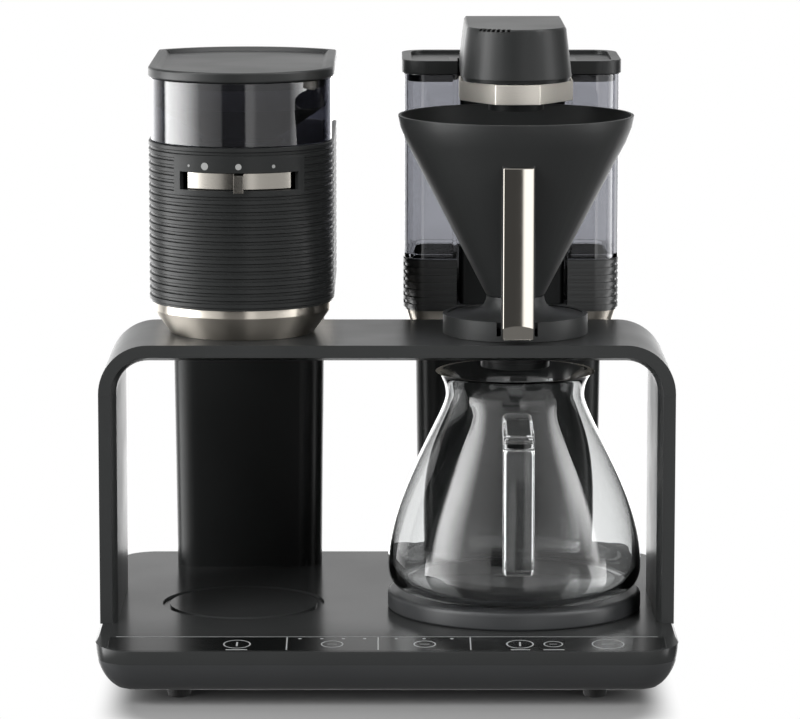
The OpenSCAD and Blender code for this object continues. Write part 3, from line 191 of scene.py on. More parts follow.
@dataclass(frozen=True)
class Moulded(Finish):
    """Moulded, coated or printed surface: a fine even grain and a soft broad sheen."""

    grain_mm: float = 0.7
    grain_depth: float = 0.12
    grain_height_mm: float = 0.1
    drift_mm: float = 60.0
    tone: float = 0.10
    gloss_drift: float = 0.03
    ior: float = 1.5
    specular: float = 0.38

    def _make(self) -> bpy.types.Material:
        """Grain as bump, a slow drift in tone and gloss over a hand's width."""
        material, tree, shader, place = self._start()
        shader.inputs["IOR"].default_value = self.ior
        shader.inputs["Specular IOR Level"].default_value = self.specular
        grain = add_node(tree, "ShaderNodeTexNoise", {
            "Vector": place, "Scale": 1 / (self.grain_mm * MM), "Detail": 2.0, "Roughness": 0.6})
        drift = add_node(tree, "ShaderNodeTexNoise", {
            "Vector": place, "Scale": 1 / (self.drift_mm * MM), "Detail": 2.0})
        tone = add_node(tree, "ShaderNodeMix", {
            "Factor": drift.outputs["Fac"], MIX_A: toned(self.colour, 1 - self.tone),
            MIX_B: toned(self.colour, 1 + self.tone)}, data_type="RGBA")
        gloss = add_node(tree, "ShaderNodeMapRange", {
            "Value": drift.outputs["Fac"], "From Min": 0.3, "From Max": 0.7,
            "To Min": self.roughness - self.gloss_drift, "To Max": self.roughness + self.gloss_drift})
        bump = add_node(tree, "ShaderNodeBump", {
            "Height": grain.outputs["Fac"], "Strength": self.grain_depth,
            "Distance": self.grain_height_mm * MM})
        tree.links.new(tone.outputs[MIX_RESULT], shader.inputs["Base Color"])
        tree.links.new(gloss.outputs["Result"], shader.inputs["Roughness"])
        tree.links.new(bump.outputs["Normal"], shader.inputs["Normal"])
        return material


@dataclass(frozen=True)
class Polished(Finish):
    """Mirror-polished stainless steel: clear reflections with faint buffing haze."""

    haze_mm: float = 9.0
    haze: tuple[float, float] = (0.7, 1.4)

    def _make(self) -> bpy.types.Material:
        """Metal whose gloss wanders a little, as buffing leaves it."""
        material, tree, shader, place = self._start()
        shader.inputs["Metallic"].default_value = 1.0
        haze = add_node(tree, "ShaderNodeTexNoise", {
            "Vector": place, "Scale": 1 / (self.haze_mm * MM), "Detail": 3.0})
        gloss = add_node(tree, "ShaderNodeMapRange", {
            "Value": haze.outputs["Fac"], "To Min": self.roughness * self.haze[0],
            "To Max": self.roughness * self.haze[1]})
        tree.links.new(gloss.outputs["Result"], shader.inputs["Roughness"])
        return material


@dataclass(frozen=True)
class Brushed(Finish):
    """Brushed or turned metal: long hairlines that stretch highlights across the stroke."""

    along: Along = Along.X
    line_mm: float = 0.5
    line_depth: float = 0.15
    line_height_mm: float = 0.05
    line_tone: float = 0.82
    haze: tuple[float, float] = (0.75, 1.25)

    def _make(self) -> bpy.types.Material:
        """Stretched noise as hairlines, in tone, gloss and bump.

        Real hairlines are under 0.1 mm; they are drawn coarser so that they show.
        """
        material, tree, shader, place = self._start()
        shader.inputs["Metallic"].default_value = 1.0
        turned = add_node(tree, "ShaderNodeMapping", {"Vector": place, "Scale": self.along.value})
        lines = add_node(tree, "ShaderNodeTexNoise", {
            "Vector": turned.outputs["Vector"], "Scale": 1 / (self.line_mm * MM), "Detail": 3.0,
            "Roughness": 0.7})
        tone = add_node(tree, "ShaderNodeMix", {
            "Factor": lines.outputs["Fac"], MIX_A: toned(self.colour, self.line_tone),
            MIX_B: linear(self.colour)}, data_type="RGBA")
        gloss = add_node(tree, "ShaderNodeMapRange", {
            "Value": lines.outputs["Fac"], "To Min": self.roughness * self.haze[0],
            "To Max": self.roughness * self.haze[1]})
        bump = add_node(tree, "ShaderNodeBump", {
            "Height": lines.outputs["Fac"], "Strength": self.line_depth,
            "Distance": self.line_height_mm * MM})
        tree.links.new(tone.outputs[MIX_RESULT], shader.inputs["Base Color"])
        tree.links.new(gloss.outputs["Result"], shader.inputs["Roughness"])
        tree.links.new(bump.outputs["Normal"], shader.inputs["Normal"])
        return material


@dataclass(frozen=True)
class Spun(Finish):
    """Stainless steel polished on the lathe: highlights spread up and down, across the turning marks."""

    stretch: float = 0.95
    stretch_turn: float = 0.25

    def _make(self) -> bpy.types.Material:
        """Metal whose gloss is stretched across the marks."""
        material, tree, shader, _ = self._start()
        shader.inputs["Metallic"].default_value = 1.0
        shader.inputs["Anisotropic"].default_value = self.stretch
        shader.inputs["Anisotropic Rotation"].default_value = self.stretch_turn
        around = add_node(tree, "ShaderNodeTangent", direction_type="RADIAL", axis="Z")
        tree.links.new(around.outputs["Tangent"], shader.inputs["Tangent"])
        return material


@dataclass(frozen=True)
class Clear(Finish):
    """Clear glass or plastic: sharp refraction, faint waviness from the mould."""

    ior: float = 1.47
    wave_mm: float = 18.0
    wave_depth: float = 0.02
    wave_height_mm: float = 1.0

    def _make(self) -> bpy.types.Material:
        """Transmitting shader with a slow wave in its surface."""
        material, tree, shader, place = self._start()
        shader.inputs["Transmission Weight"].default_value = 1.0
        shader.inputs["IOR"].default_value = self.ior
        wave = add_node(tree, "ShaderNodeTexNoise", {
            "Vector": place, "Scale": 1 / (self.wave_mm * MM), "Detail": 1.0})
        bump = add_node(tree, "ShaderNodeBump", {
            "Height": wave.outputs["Fac"], "Strength": self.wave_depth,
            "Distance": self.wave_height_mm * MM})
        tree.links.new(bump.outputs["Normal"], shader.inputs["Normal"])
        return material


@dataclass(frozen=True)
class Glossy(Finish):
    """Back-painted glass: deep colour under a clear sharp coat."""

    ior: float = 1.52
    coat: float = 0.3
    coat_roughness: float = 0.12
    wipe_mm: float = 25.0
    haze: tuple[float, float] = (0.92, 1.12)

    def _make(self) -> bpy.types.Material:
        """Coated shader with faint wipe marks in its gloss."""
        material, tree, shader, place = self._start()
        shader.inputs["IOR"].default_value = self.ior
        shader.inputs["Coat Weight"].default_value = self.coat
        shader.inputs["Coat Roughness"].default_value = self.coat_roughness
        wipe = add_node(tree, "ShaderNodeTexNoise", {
            "Vector": place, "Scale": 1 / (self.wipe_mm * MM), "Detail": 4.0})
        gloss = add_node(tree, "ShaderNodeMapRange", {
            "Value": wipe.outputs["Fac"], "To Min": self.roughness * self.haze[0],
            "To Max": self.roughness * self.haze[1]})
        tree.links.new(gloss.outputs["Result"], shader.inputs["Roughness"])
        return material


# ABS from an eroded mould: charcoal under a soft, broad highlight
SATIN = Moulded("moulded_abs_satin_black", "#353637", 0.38, "satin_black_plastic")
# The deck's finer grain: an even tone that mirrors hardly anything
DECK = Moulded("moulded_abs_deck", "#343535", 0.2, "satin_black_plastic", grain_depth=0.04, specular=0.12)
# Walls and works in the shade: a darker copy of the satin black, near black with a faint sheen, as painted
# shade
DARK_PAINTED_SHADE = Moulded("moulded_abs_dark_painted_shade", "#202121", 0.3, "satin_black_plastic", specular=0.09)
# Ribbed housing: each rib carries one thin dull line of light
RIBBED = Moulded("moulded_abs_ribbed", "#242525", 0.34, "ribbed_black_plastic", specular=0.15)
# Tank collar: the housing's ribbed plastic painted lighter and glossier, as a painted sheen
COLLAR_PAINTED_SHEEN = Moulded("moulded_abs_collar_painted_sheen", "#343535", 0.36, "ribbed_black_plastic", specular=0.6)
# Lids and head: flat tops turn grey, walls stay black
LID = Moulded("moulded_abs_lid", "#222323", 0.38, "ribbed_black_plastic", specular=0.3)
# Filter cone: the mattest moulding, with a wide soft fall of light
CONE = Moulded("moulded_abs_cone", "#252626", 0.46, "ribbed_black_plastic")
# Powder coat on aluminium: a fine orange peel in the highlights
FRAME_PAINT = Moulded("powder_coated_aluminium", "#303131", 0.32, "painted_frame", grain_mm=0.9,
                      grain_depth=0.06, specular=0.2)
# Baked non-stick coat: deep black with a low sheen
PLATE_COAT = Moulded("non_stick_coating", "#161617", 0.30, "hot_plate_coating", grain_mm=0.9)
# Moulded rubber: dull black without highlights
RUBBER = Moulded("moulded_rubber", "#0d0d0d", 0.75, "rubber", grain_mm=1.0, grain_depth=0.2)
# Extruded silicone: milky and soft
SILICONE = Moulded("silicone_hose", "#cfcabd", 0.55, "silicone_tube")
# Lacquered glass fibre board: green with a slight shine
BOARD = Moulded("circuit_board_lacquer", "#24502f", 0.4, "circuit_board", grain_mm=3.0)
# Zinc-plated steel can: cool grey, a little cloudy
MOTOR = Moulded("zinc_plated_can", "#6d7074", 0.35, "motor_steel", grain_mm=2.0)
# Screen-printed ink: flat light grey on the touch strip, a dimmer one on the housing; the light grey also
# paints a highlight along the strip's crease
PRINT_AND_HIGHLIGHT = Moulded("screen_print_and_painted_highlight_grey", "#a4a6a6", 0.6, "touch_glass", tone=0.03)
MARK = Moulded("screen_print_dim", "#8d8e8d", 0.6, "touch_glass", tone=0.03)
# Stainless steel in its four finishes: mirror, fine brushed, spun, and hairline across or upright
MIRROR = Polished("polished_stainless", "#cfcac1", 0.08, "polished_steel")
BAND = Brushed("brushed_stainless_band", "#e6e1d8", 0.46, "polished_steel", along=Along.X, line_mm=0.3)
SPUN = Spun("spun_stainless", "#d4cdc2", 0.34, "polished_steel")
HAIRLINE = Brushed("brushed_stainless_across", "#a19d96", 0.24, "brushed_steel", along=Along.X)
HAIRLINE_UP = Brushed("brushed_stainless_upright", "#c9c5bf", 0.22, "brushed_steel", along=Along.Z)
# Turned brass: warm yellow with fine upright streaks
TURNED = Brushed("turned_brass", "#c2a05a", 0.3, "brass", along=Along.Z)
# Die-cast aluminium: pale grey with coarse flow lines
CAST = Brushed("die_cast_aluminium", "#a9abae", 0.4, "heater_aluminium", along=Along.Z, line_mm=2.0)
# Smoked copolyester: clear, grey-blue where walls lie behind each other; the hopper's is darker
SMOKE = Clear("smoked_copolyester", "#c1c2c7", 0.012, "smoked_plastic", ior=1.57)
SMOKE_DEEP = Clear("smoked_copolyester_deep", "#777882", 0.012, "smoked_plastic", ior=1.57)
# Blown borosilicate glass: clear with dark edges; the cast grip blurs what lies behind it a little
GLASS = Clear("borosilicate_glass", "#fafbfb", 0.0, "clear_glass", ior=1.47)
GRIP = Clear("cast_glass_grip", "#fafbfb", 0.04, "clear_glass", ior=1.47)
# Glass painted black on its back: a deep black with a clear reflection on top
TOUCH = Glossy("back_painted_touch_glass", "#101111", 0.24, "touch_glass")


def shade_group(sharp_deg: int = SHARP_DEG) -> bpy.types.NodeTree:
    """Return the node group that smooths a mesh up to an edge angle.

    Args:
        sharp_deg: Angle in degrees from which an edge stays sharp.

    Returns:
        The group, made on first use.
    """
    name = f"smooth_to_{sharp_deg}_degrees"
    found = bpy.data.node_groups.get(name)
    if found:
        return found
    tree = bpy.data.node_groups.new(name, "GeometryNodeTree")
    tree.interface.new_socket("Geometry", in_out="INPUT", socket_type="NodeSocketGeometry")
    tree.interface.new_socket("Geometry", in_out="OUTPUT", socket_type="NodeSocketGeometry")
    start = add_node(tree, "NodeGroupInput")
    angle = add_node(tree, "GeometryNodeInputMeshEdgeAngle")
    sharp = add_node(tree, "FunctionNodeCompare", {
        0: angle.outputs[0], 1: math.radians(sharp_deg)}, operation="GREATER_THAN")
    faces = add_node(tree, "GeometryNodeSetShadeSmooth", {
        "Geometry": start.outputs[0], "Shade Smooth": True}, domain="FACE")
    edges = add_node(tree, "GeometryNodeSetShadeSmooth", {
        "Geometry": faces.outputs[0], "Selection": sharp.outputs[0], "Shade Smooth": False}, domain="EDGE")
    add_node(tree, "NodeGroupOutput", {0: edges.outputs[0]})
    return tree


def finish_edges(piece: bpy.types.Object, edge: Edge, sharp_deg: int) -> None:
    """Join a mesh's loose triangles, round its edges and smooth it, all by modifiers.

    Args:
        piece: Object that gets the modifiers.
        edge: Rounding of its edges.
        sharp_deg: Angle in degrees from which an edge stays sharp.
    """
    weld = piece.modifiers.new("join", "WELD")
    weld.merge_threshold = JOIN_DIST
    if edge is not Edge.NONE:
        flat = piece.modifiers.new("flat_faces", "DECIMATE")
        flat.decimate_type = "DISSOLVE"
        flat.angle_limit = math.radians(FLAT_DEG)
        bevel = piece.modifiers.new("edge_round", "BEVEL")
        bevel.width = edge.value * MM
        bevel.segments = ROUND_STEPS
        bevel.limit_method = "ANGLE"
        bevel.angle_limit = math.radians(ROUND_DEG)
    piece.modifiers.new("smooth", "NODES").node_group = shade_group(sharp_deg)
    if edge is not Edge.NONE:
        weighted = piece.modifiers.new("even_normals", "WEIGHTED_NORMAL")
        weighted.keep_sharp = True


@dataclass
class Workshop:
    """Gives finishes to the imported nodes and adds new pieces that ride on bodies."""

    nodes: dict[str, bpy.types.Object]
    done: list[str] = field(default_factory=list)

    def dress(self, finish: Finish, edge: Edge, *names: str, sharp_deg: int = SHARP_DEG) -> None:
        """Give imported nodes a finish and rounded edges.

        Args:
            finish: Finish of the nodes.
            edge: Rounding of their edges.
            *names: Nodes to dress.
            sharp_deg: Angle in degrees from which an edge stays sharp.
        """
        for name in names:
            piece = self.nodes[name]
            piece.data.materials.clear()
            piece.data.materials.append(finish.material())
            finish_edges(piece, edge, sharp_deg)
            self.done.append(name)
            LOG.info("dressed %s with %s", name, finish.name)

    def piece(self, name: str, body: str, finish: Finish, build: Callable[[bmesh.types.BMesh], None],
              *stands_for: str) -> bpy.types.Object:
        """Make a new piece that rides on a body.

        Args:
            name: Name of the piece.
            body: Body that it moves with.
            finish: Its finish.
            build: Function that models it in an empty bmesh, in metres.
            *stands_for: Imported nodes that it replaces.

        Returns:
            The new object.
        """
        bm = bmesh.new()
        build(bm)
        mesh = bpy.data.meshes.new(name)
        bm.to_mesh(mesh)
        bm.free()
        mesh.materials.append(finish.material())
        made = bpy.data.objects.new(name, mesh)
        bpy.context.scene.collection.objects.link(made)
        made.modifiers.new("smooth", "NODES").node_group = shade_group()
        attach(made, body)
        if stands_for:
            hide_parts(*stands_for)
            self.done += stands_for
        LOG.info("made %s on %s", name, body)
        return made


def spin_section(bm: bmesh.types.BMesh, section: Sequence[tuple[float, float]], centre: tuple[float, float],
                 steps: int) -> None:
    """Turn a section about an upright axis.

    Args:
        bm: Mesh that gets the shape.
        section: Points of radius and height in millimetres; a point on the axis closes the shape there.
        centre: Axis position in millimetres.
        steps: Faces around the axis.
    """
    axis = Vector((centre[0] * MM, centre[1] * MM, 0))
    points = [bm.verts.new(axis + Vector((0, -r * MM, z * MM))) for r, z in section]
    chain = [bm.edges.new(pair) for pair in zip(points, points[1:])]
    bmesh.ops.spin(bm, geom=points + chain, cent=axis, axis=(0, 0, 1), angle=math.tau, steps=steps,
                   use_merge=True)
    bmesh.ops.remove_doubles(bm, verts=bm.verts[:], dist=JOIN_DIST)
    bmesh.ops.recalc_face_normals(bm, faces=bm.faces[:])


def flat_ring(bm: bmesh.types.BMesh, place: Matrix, radius: float, width: float) -> None:
    """Lay a thin printed ring on a plane.

    Args:
        bm: Mesh that gets the ring.
        place: Plane of the print, in metres.
        radius: Outer radius in millimetres.
        width: Line width in millimetres.
    """
    made = bmesh.ops.create_circle(bm, cap_ends=True, radius=radius * MM, segments=RING_SIDES)
    face = made["verts"][0].link_faces[0]
    inner = bmesh.ops.inset_region(bm, faces=[face], thickness=width * MM, use_boundary=True,
                                   use_even_offset=True)
    verts = {v for f in inner["faces"] for v in f.verts} | set(made["verts"])
    bmesh.ops.delete(bm, geom=[face], context="FACES_ONLY")
    bmesh.ops.transform(bm, matrix=place, verts=[v for v in verts if v.is_valid])


def flat_disc(bm: bmesh.types.BMesh, place: Matrix, radius: float) -> None:
    """Lay a printed dot of a radius in millimetres on a plane."""
    bmesh.ops.create_circle(bm, cap_ends=True, radius=radius * MM, segments=DOT_SIDES, matrix=place)


def flat_bar(bm: bmesh.types.BMesh, place: Matrix, width: float, length: float) -> None:
    """Lay a printed bar of a width and length in millimetres on a plane."""
    size = Matrix.Diagonal((width * MM, length * MM, 1, 1))
    bmesh.ops.create_grid(bm, x_segments=1, y_segments=1, size=0.5, matrix=place @ size)


def bezier(points: Sequence[tuple[float, float]], count: int) -> list[tuple[float, float]]:
    """Return points along a cubic curve, without its start.

    Args:
        points: The curve's four control points.
        count: Number of points.

    Returns:
        Points in the order of the curve.
    """
    curve = []
    for i in range(1, count + 1):
        t = i / count
        weights = ((1 - t) ** 3, 3 * t * (1 - t) ** 2, 3 * t * t * (1 - t), t ** 3)
        curve.append(tuple(sum(w * p[k] for w, p in zip(weights, points)) for k in (0, 1)))
    return curve


@dataclass(frozen=True)
class Spring:
    """Coil spring, wound upwards from its foot; it does not shorten."""

    foot: tuple[float, float, float]
    radius: float
    wire: float
    length: float
    turns: int
    travel: float
    wire_sides: int = 10
    turn_steps: int = 24

    def wind(self, bm: bmesh.types.BMesh) -> None:
        """Wind the wire upwards from the foot and close its two ends."""
        foot = Vector(self.foot) * MM
        start = Matrix.Translation(foot + Vector((self.radius, 0, self.wire)) * MM)
        across = Matrix.Rotation(math.pi / 2, 4, "X")
        bmesh.ops.create_circle(bm, cap_ends=False, radius=self.wire * MM, segments=self.wire_sides,
                                matrix=start @ across)
        steps = self.turn_steps * self.turns
        rise = (self.length - 2 * self.wire) / steps
        bmesh.ops.spin(bm, geom=bm.verts[:] + bm.edges[:], cent=foot, axis=(0, 0, 1),
                       dvec=(0, 0, rise * MM), angle=math.tau * self.turns, steps=steps)
        bmesh.ops.holes_fill(bm, edges=[e for e in bm.edges if e.is_boundary], sides=0)
        bmesh.ops.recalc_face_normals(bm, faces=bm.faces[:])

    def build(self, shop: Workshop, name: str, body: str, joint: str, node: str) -> None:
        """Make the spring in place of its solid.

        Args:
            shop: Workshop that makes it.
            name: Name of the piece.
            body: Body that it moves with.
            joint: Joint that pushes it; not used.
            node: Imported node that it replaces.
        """
        made = shop.piece(name, body, HAIRLINE_UP, self.wind, node)
        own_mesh(made)


@dataclass
class Base:
    """Tub, deck, touch strip and warming plate."""

    deck_z: float = 39.5
    crease_y: float = -118.0
    slope_deg: float = 5.0
    print_lift: float = 0.06
    # Keys: place along the strip, radius of the ring, and whether the bar in it stands upright
    rings: tuple[tuple[float, float, bool], ...] = (
        (-89.8, 8.3, True), (-32.8, 6.8, False), (22.6, 6.8, False), (79.6, 8.3, True), (99.5, 5.9, False),
        (132.3, 9.8, False))
    key_down: float = 15.5
    ring_line: float = 0.85
    upright_line: float = 1.1
    level_line: float = 0.7
    level_share: float = 0.8
    dots: tuple[float, ...] = (-52.3, -39.1, -26.2, -13.4, 5.6, 22.3, 39.0)
    dot_down: float = 4.6
    dot_r: float = 1.1
    dividers: tuple[float, ...] = (-60.0, -5.3, 50.0)
    divider_down: float = 14.5
    divider_size: tuple[float, float] = (0.8, 25.0)
    # Bars under keys: place along the strip and width
    under_bars: tuple[tuple[float, float], ...] = ((-89.8, 12.9), (79.6, 11.5), (99.5, 12.5))
    bar_down: float = 26.6
    bar_line: float = 1.4
    # Painted highlight along the crease between deck and strip, in place of its lit edge: distance down the
    # slope and size
    crease_highlight_down: float = 0.8
    crease_highlight_size: tuple[float, float] = (326.0, 0.7)

    def on_strip(self, x: float, down: float) -> Matrix:
        """Return the plane of the strip at a place.

        Args:
            x: Place along the strip in millimetres.
            down: Distance from the crease in millimetres, down the slope.

        Returns:
            A matrix whose Z axis stands on the strip.
        """
        crease = Matrix.Translation((0, self.crease_y * MM, self.deck_z * MM))
        slope = Matrix.Rotation(math.radians(self.slope_deg), 4, "X")
        return crease @ slope @ Matrix.Translation((x * MM, -down * MM, self.print_lift * MM))

    def key_prints_and_crease_highlight(self, bm: bmesh.types.BMesh) -> None:
        """Print the plain key rings, level dots and dividers of the strip, and paint a highlight along its
        crease.
        """
        for x, radius, upright in self.rings:
            place = self.on_strip(x, self.key_down)
            flat_ring(bm, place, radius, self.ring_line)
            if upright:
                flat_bar(bm, place, self.upright_line, radius)
            else:
                flat_bar(bm, place, radius * self.level_share, self.level_line)
        for x in self.dots:
            flat_disc(bm, self.on_strip(x, self.dot_down), self.dot_r)
        for x in self.dividers:
            flat_bar(bm, self.on_strip(x, self.divider_down), *self.divider_size)
        for x, width in self.under_bars:
            flat_bar(bm, self.on_strip(x, self.bar_down), width, self.bar_line)
        # Painted highlight: a thin light grey line along the crease, where the edge of the strip catches the
        # light
        flat_bar(bm, self.on_strip(0, self.crease_highlight_down), *self.crease_highlight_size)

    def build(self, shop: Workshop) -> None:
        """Dress the base, print its keys and paint a highlight along the strip's crease."""
        shop.dress(SATIN, Edge.NONE, "base_tub")
        shop.dress(DECK, Edge.NONE, "base_deck")
        shop.dress(DARK_PAINTED_SHADE, Edge.PLAIN, "bottom_cover")
        shop.dress(RUBBER, Edge.FOOT, "rubber_feet")
        shop.dress(RUBBER, Edge.FINE, "mains_gland")
        shop.dress(TOUCH, Edge.SHEET, "control_strip")
        shop.dress(BOARD, Edge.NONE, "touch_board", "main_board")
        shop.dress(HAIRLINE, Edge.SHEET, "cover_screws")
        shop.dress(SATIN, Edge.PLAIN, "warming_ring")
        shop.dress(PLATE_COAT, Edge.FINE, "hot_plate")
        shop.dress(CAST, Edge.PLAIN, "heating_element")
        # The strip's prints, with the painted highlight along its crease
        shop.piece("strip_prints_and_crease_highlight", "machine", PRINT_AND_HIGHLIGHT, self.key_prints_and_crease_highlight)


@dataclass
class Bridge:
    """Legs and bridge of the frame."""

    edge: Edge = Edge.SOFT

    def build(self, shop: Workshop) -> None:
        """Dress the frame."""
        shop.dress(FRAME_PAINT, self.edge, "left_leg", "right_leg", "bridge")
        shop.dress(HAIRLINE, Edge.SHEET, "frame_pins", "leg_screws")


@dataclass
class Grinder:
    """Grinder tower with its works, hopper and setting slider."""

    axis: tuple[float, float] = (-89.5, -17.0)
    panel_r: float = 57.1
    print_lift: float = 0.08
    mark_z: float = 318.6
    # Dots of the setting: distance along the panel and radius
    marks: tuple[tuple[float, float], ...] = ((-32.0, 0.8), (-21.0, 2.3), (0.0, 1.9), (21.6, 1.1))

    def on_panel(self, along: float) -> Matrix:
        """Return the plane of the housing's front panel at a place.

        Args:
            along: Distance from the front's middle along the panel, in millimetres to the right.

        Returns:
            A matrix whose Z axis stands on the panel.
        """
        middle = Matrix.Translation((self.axis[0] * MM, self.axis[1] * MM, self.mark_z * MM))
        turn = Matrix.Rotation(along / self.panel_r, 4, "Z")
        out = Matrix.Translation((0, -(self.panel_r + self.print_lift) * MM, 0))
        return middle @ turn @ out @ Matrix.Rotation(math.pi / 2, 4, "X")

    def setting_marks(self, bm: bmesh.types.BMesh) -> None:
        """Print the dots that show coarse to fine."""
        for along, radius in self.marks:
            flat_disc(bm, self.on_panel(along), radius)

    def build(self, shop: Workshop) -> None:
        """Dress the tower and print its marks."""
        # Painted shade: the column takes the darker copy of the satin black
        shop.dress(DARK_PAINTED_SHADE, Edge.NONE, "grinder_column")
        shop.dress(SPUN, Edge.FINE, "grinder_skirt")
        shop.dress(RIBBED, Edge.RIB, "grinder_housing")
        shop.dress(HAIRLINE, Edge.SHEET, "grind_slider")
        shop.dress(DARK_PAINTED_SHADE, Edge.FINE, "adjust_ring", "grinder_frame", "grounds_chute", "hopper_funnel")
        shop.dress(HAIRLINE_UP, Edge.SHEET, "upper_burr", "lower_burr")
        shop.dress(TURNED, Edge.NONE, "burr_gear", "idler_gear", "motor_pinion")
        shop.dress(MOTOR, Edge.PLAIN, "grinder_motor")
        shop.dress(SMOKE_DEEP, Edge.SHEET, "bean_hopper")
        shop.dress(LID, Edge.PLAIN, "hopper_lid")
        shop.piece("setting_marks", "machine", MARK, self.setting_marks)


@dataclass
class Tank:
    """Tank tower with its water path."""

    edge: Edge = Edge.PLAIN
    spring: Spring = Spring(foot=(78.5, 100.08, 226.2), radius=5.5, wire=0.6, length=15.5, turns=5,
                            travel=4.0)

    def build(self, shop: Workshop) -> None:
        """Dress the tower and wind the valve's spring."""
        # Painted shade: the column takes the darker copy of the satin black
        shop.dress(DARK_PAINTED_SHADE, Edge.NONE, "tank_column")
        shop.dress(SPUN, Edge.FINE, "tank_skirt")
        # Painted sheen: the collar is a lighter, glossier copy of the housing's plastic
        shop.dress(COLLAR_PAINTED_SHEEN, Edge.RIB, "tank_collar")
        shop.dress(SMOKE, Edge.SHEET, "water_tank")
        shop.dress(LID, self.edge, "tank_lid")
        shop.dress(TURNED, Edge.SHEET, "tank_valve")
        self.spring.build(shop, "valve_coil", "tank", "valve_push", "valve_spring")
        shop.dress(RUBBER, Edge.SEAL, "valve_seal")
        shop.dress(MOTOR, self.edge, "pump")
        shop.dress(CAST, self.edge, "flow_heater")
        shop.dress(DARK_PAINTED_SHADE, self.edge, "riser_post")
        shop.dress(SILICONE, Edge.NONE, "hot_water_tube")


@dataclass
class Head:
    """Brew head with its steel band and spray nozzle."""

    edge: Edge = Edge.SOFT

    def build(self, shop: Workshop) -> None:
        """Dress the head."""
        shop.dress(LID, self.edge, "head_cover")
        shop.dress(DARK_PAINTED_SHADE, Edge.FINE, "head_base", "spray_nozzle")
        shop.dress(BAND, Edge.FINE, "steel_band")
        shop.dress(MOTOR, Edge.FINE, "nozzle_motor")


@dataclass
class Filter:
    """Filter cone, its stand, handle and the drip stop under the bridge."""

    axis: tuple[float, float] = BREW_AXIS
    edge: Edge = Edge.SOFT
    trim_sharp_deg: int = 12
    rib_count: int = 20
    # Ends of a rib, as radius and height, and its width and thickness
    rib_low: tuple[float, float] = (18.4, 242.0)
    rib_top: tuple[float, float] = (58.9, 320.0)
    rib_size: tuple[float, float] = (1.6, 1.2)
    rib_round: float = 0.4
    spring: Spring = Spring(foot=(*BREW_AXIS, 190.4), radius=5.6, wire=0.5, length=8.0, turns=4, travel=3.0)

    def inner_ribs(self, bm: bmesh.types.BMesh) -> None:
        """Raise the ribs inside the cone that hold the paper off its wall."""
        low = Vector((self.rib_low[0], 0, self.rib_low[1])) * MM
        top = Vector((self.rib_top[0], 0, self.rib_top[1])) * MM
        run = top - low
        lean = Matrix.Rotation(math.atan2(run.x, run.z), 4, "Y")
        size = Matrix.Diagonal((self.rib_size[1] * MM, self.rib_size[0] * MM, run.length, 1))
        rib = Matrix.Translation((low + top) / 2) @ lean @ size
        home = Matrix.Translation((self.axis[0] * MM, self.axis[1] * MM, 0))
        for i in range(self.rib_count):
            turn = Matrix.Rotation(math.tau * i / self.rib_count, 4, "Z")
            made = bmesh.ops.create_cube(bm, size=1.0, matrix=home @ turn @ rib)
            edges = list({e for v in made["verts"] for e in v.link_edges})
            bmesh.ops.bevel(bm, geom=edges, offset=self.rib_round * MM, offset_type="OFFSET",
                            affect="EDGES", segments=2, profile=0.5, material=-1)

    def build(self, shop: Workshop) -> None:
        """Dress the filter, wind the drip stop's spring and raise the ribs."""
        shop.dress(CONE, self.edge, "filter_cone", "cone_stand", "cone_handle")
        shop.dress(MIRROR, Edge.TRIM, "handle_trim", sharp_deg=self.trim_sharp_deg)
        shop.dress(DARK_PAINTED_SHADE, Edge.FINE, "drip_housing", "drip_plunger")
        self.spring.build(shop, "drip_coil", "machine", "plunger_push", "drip_spring")
        shop.piece("cone_ribs", "filter", CONE, self.inner_ribs)


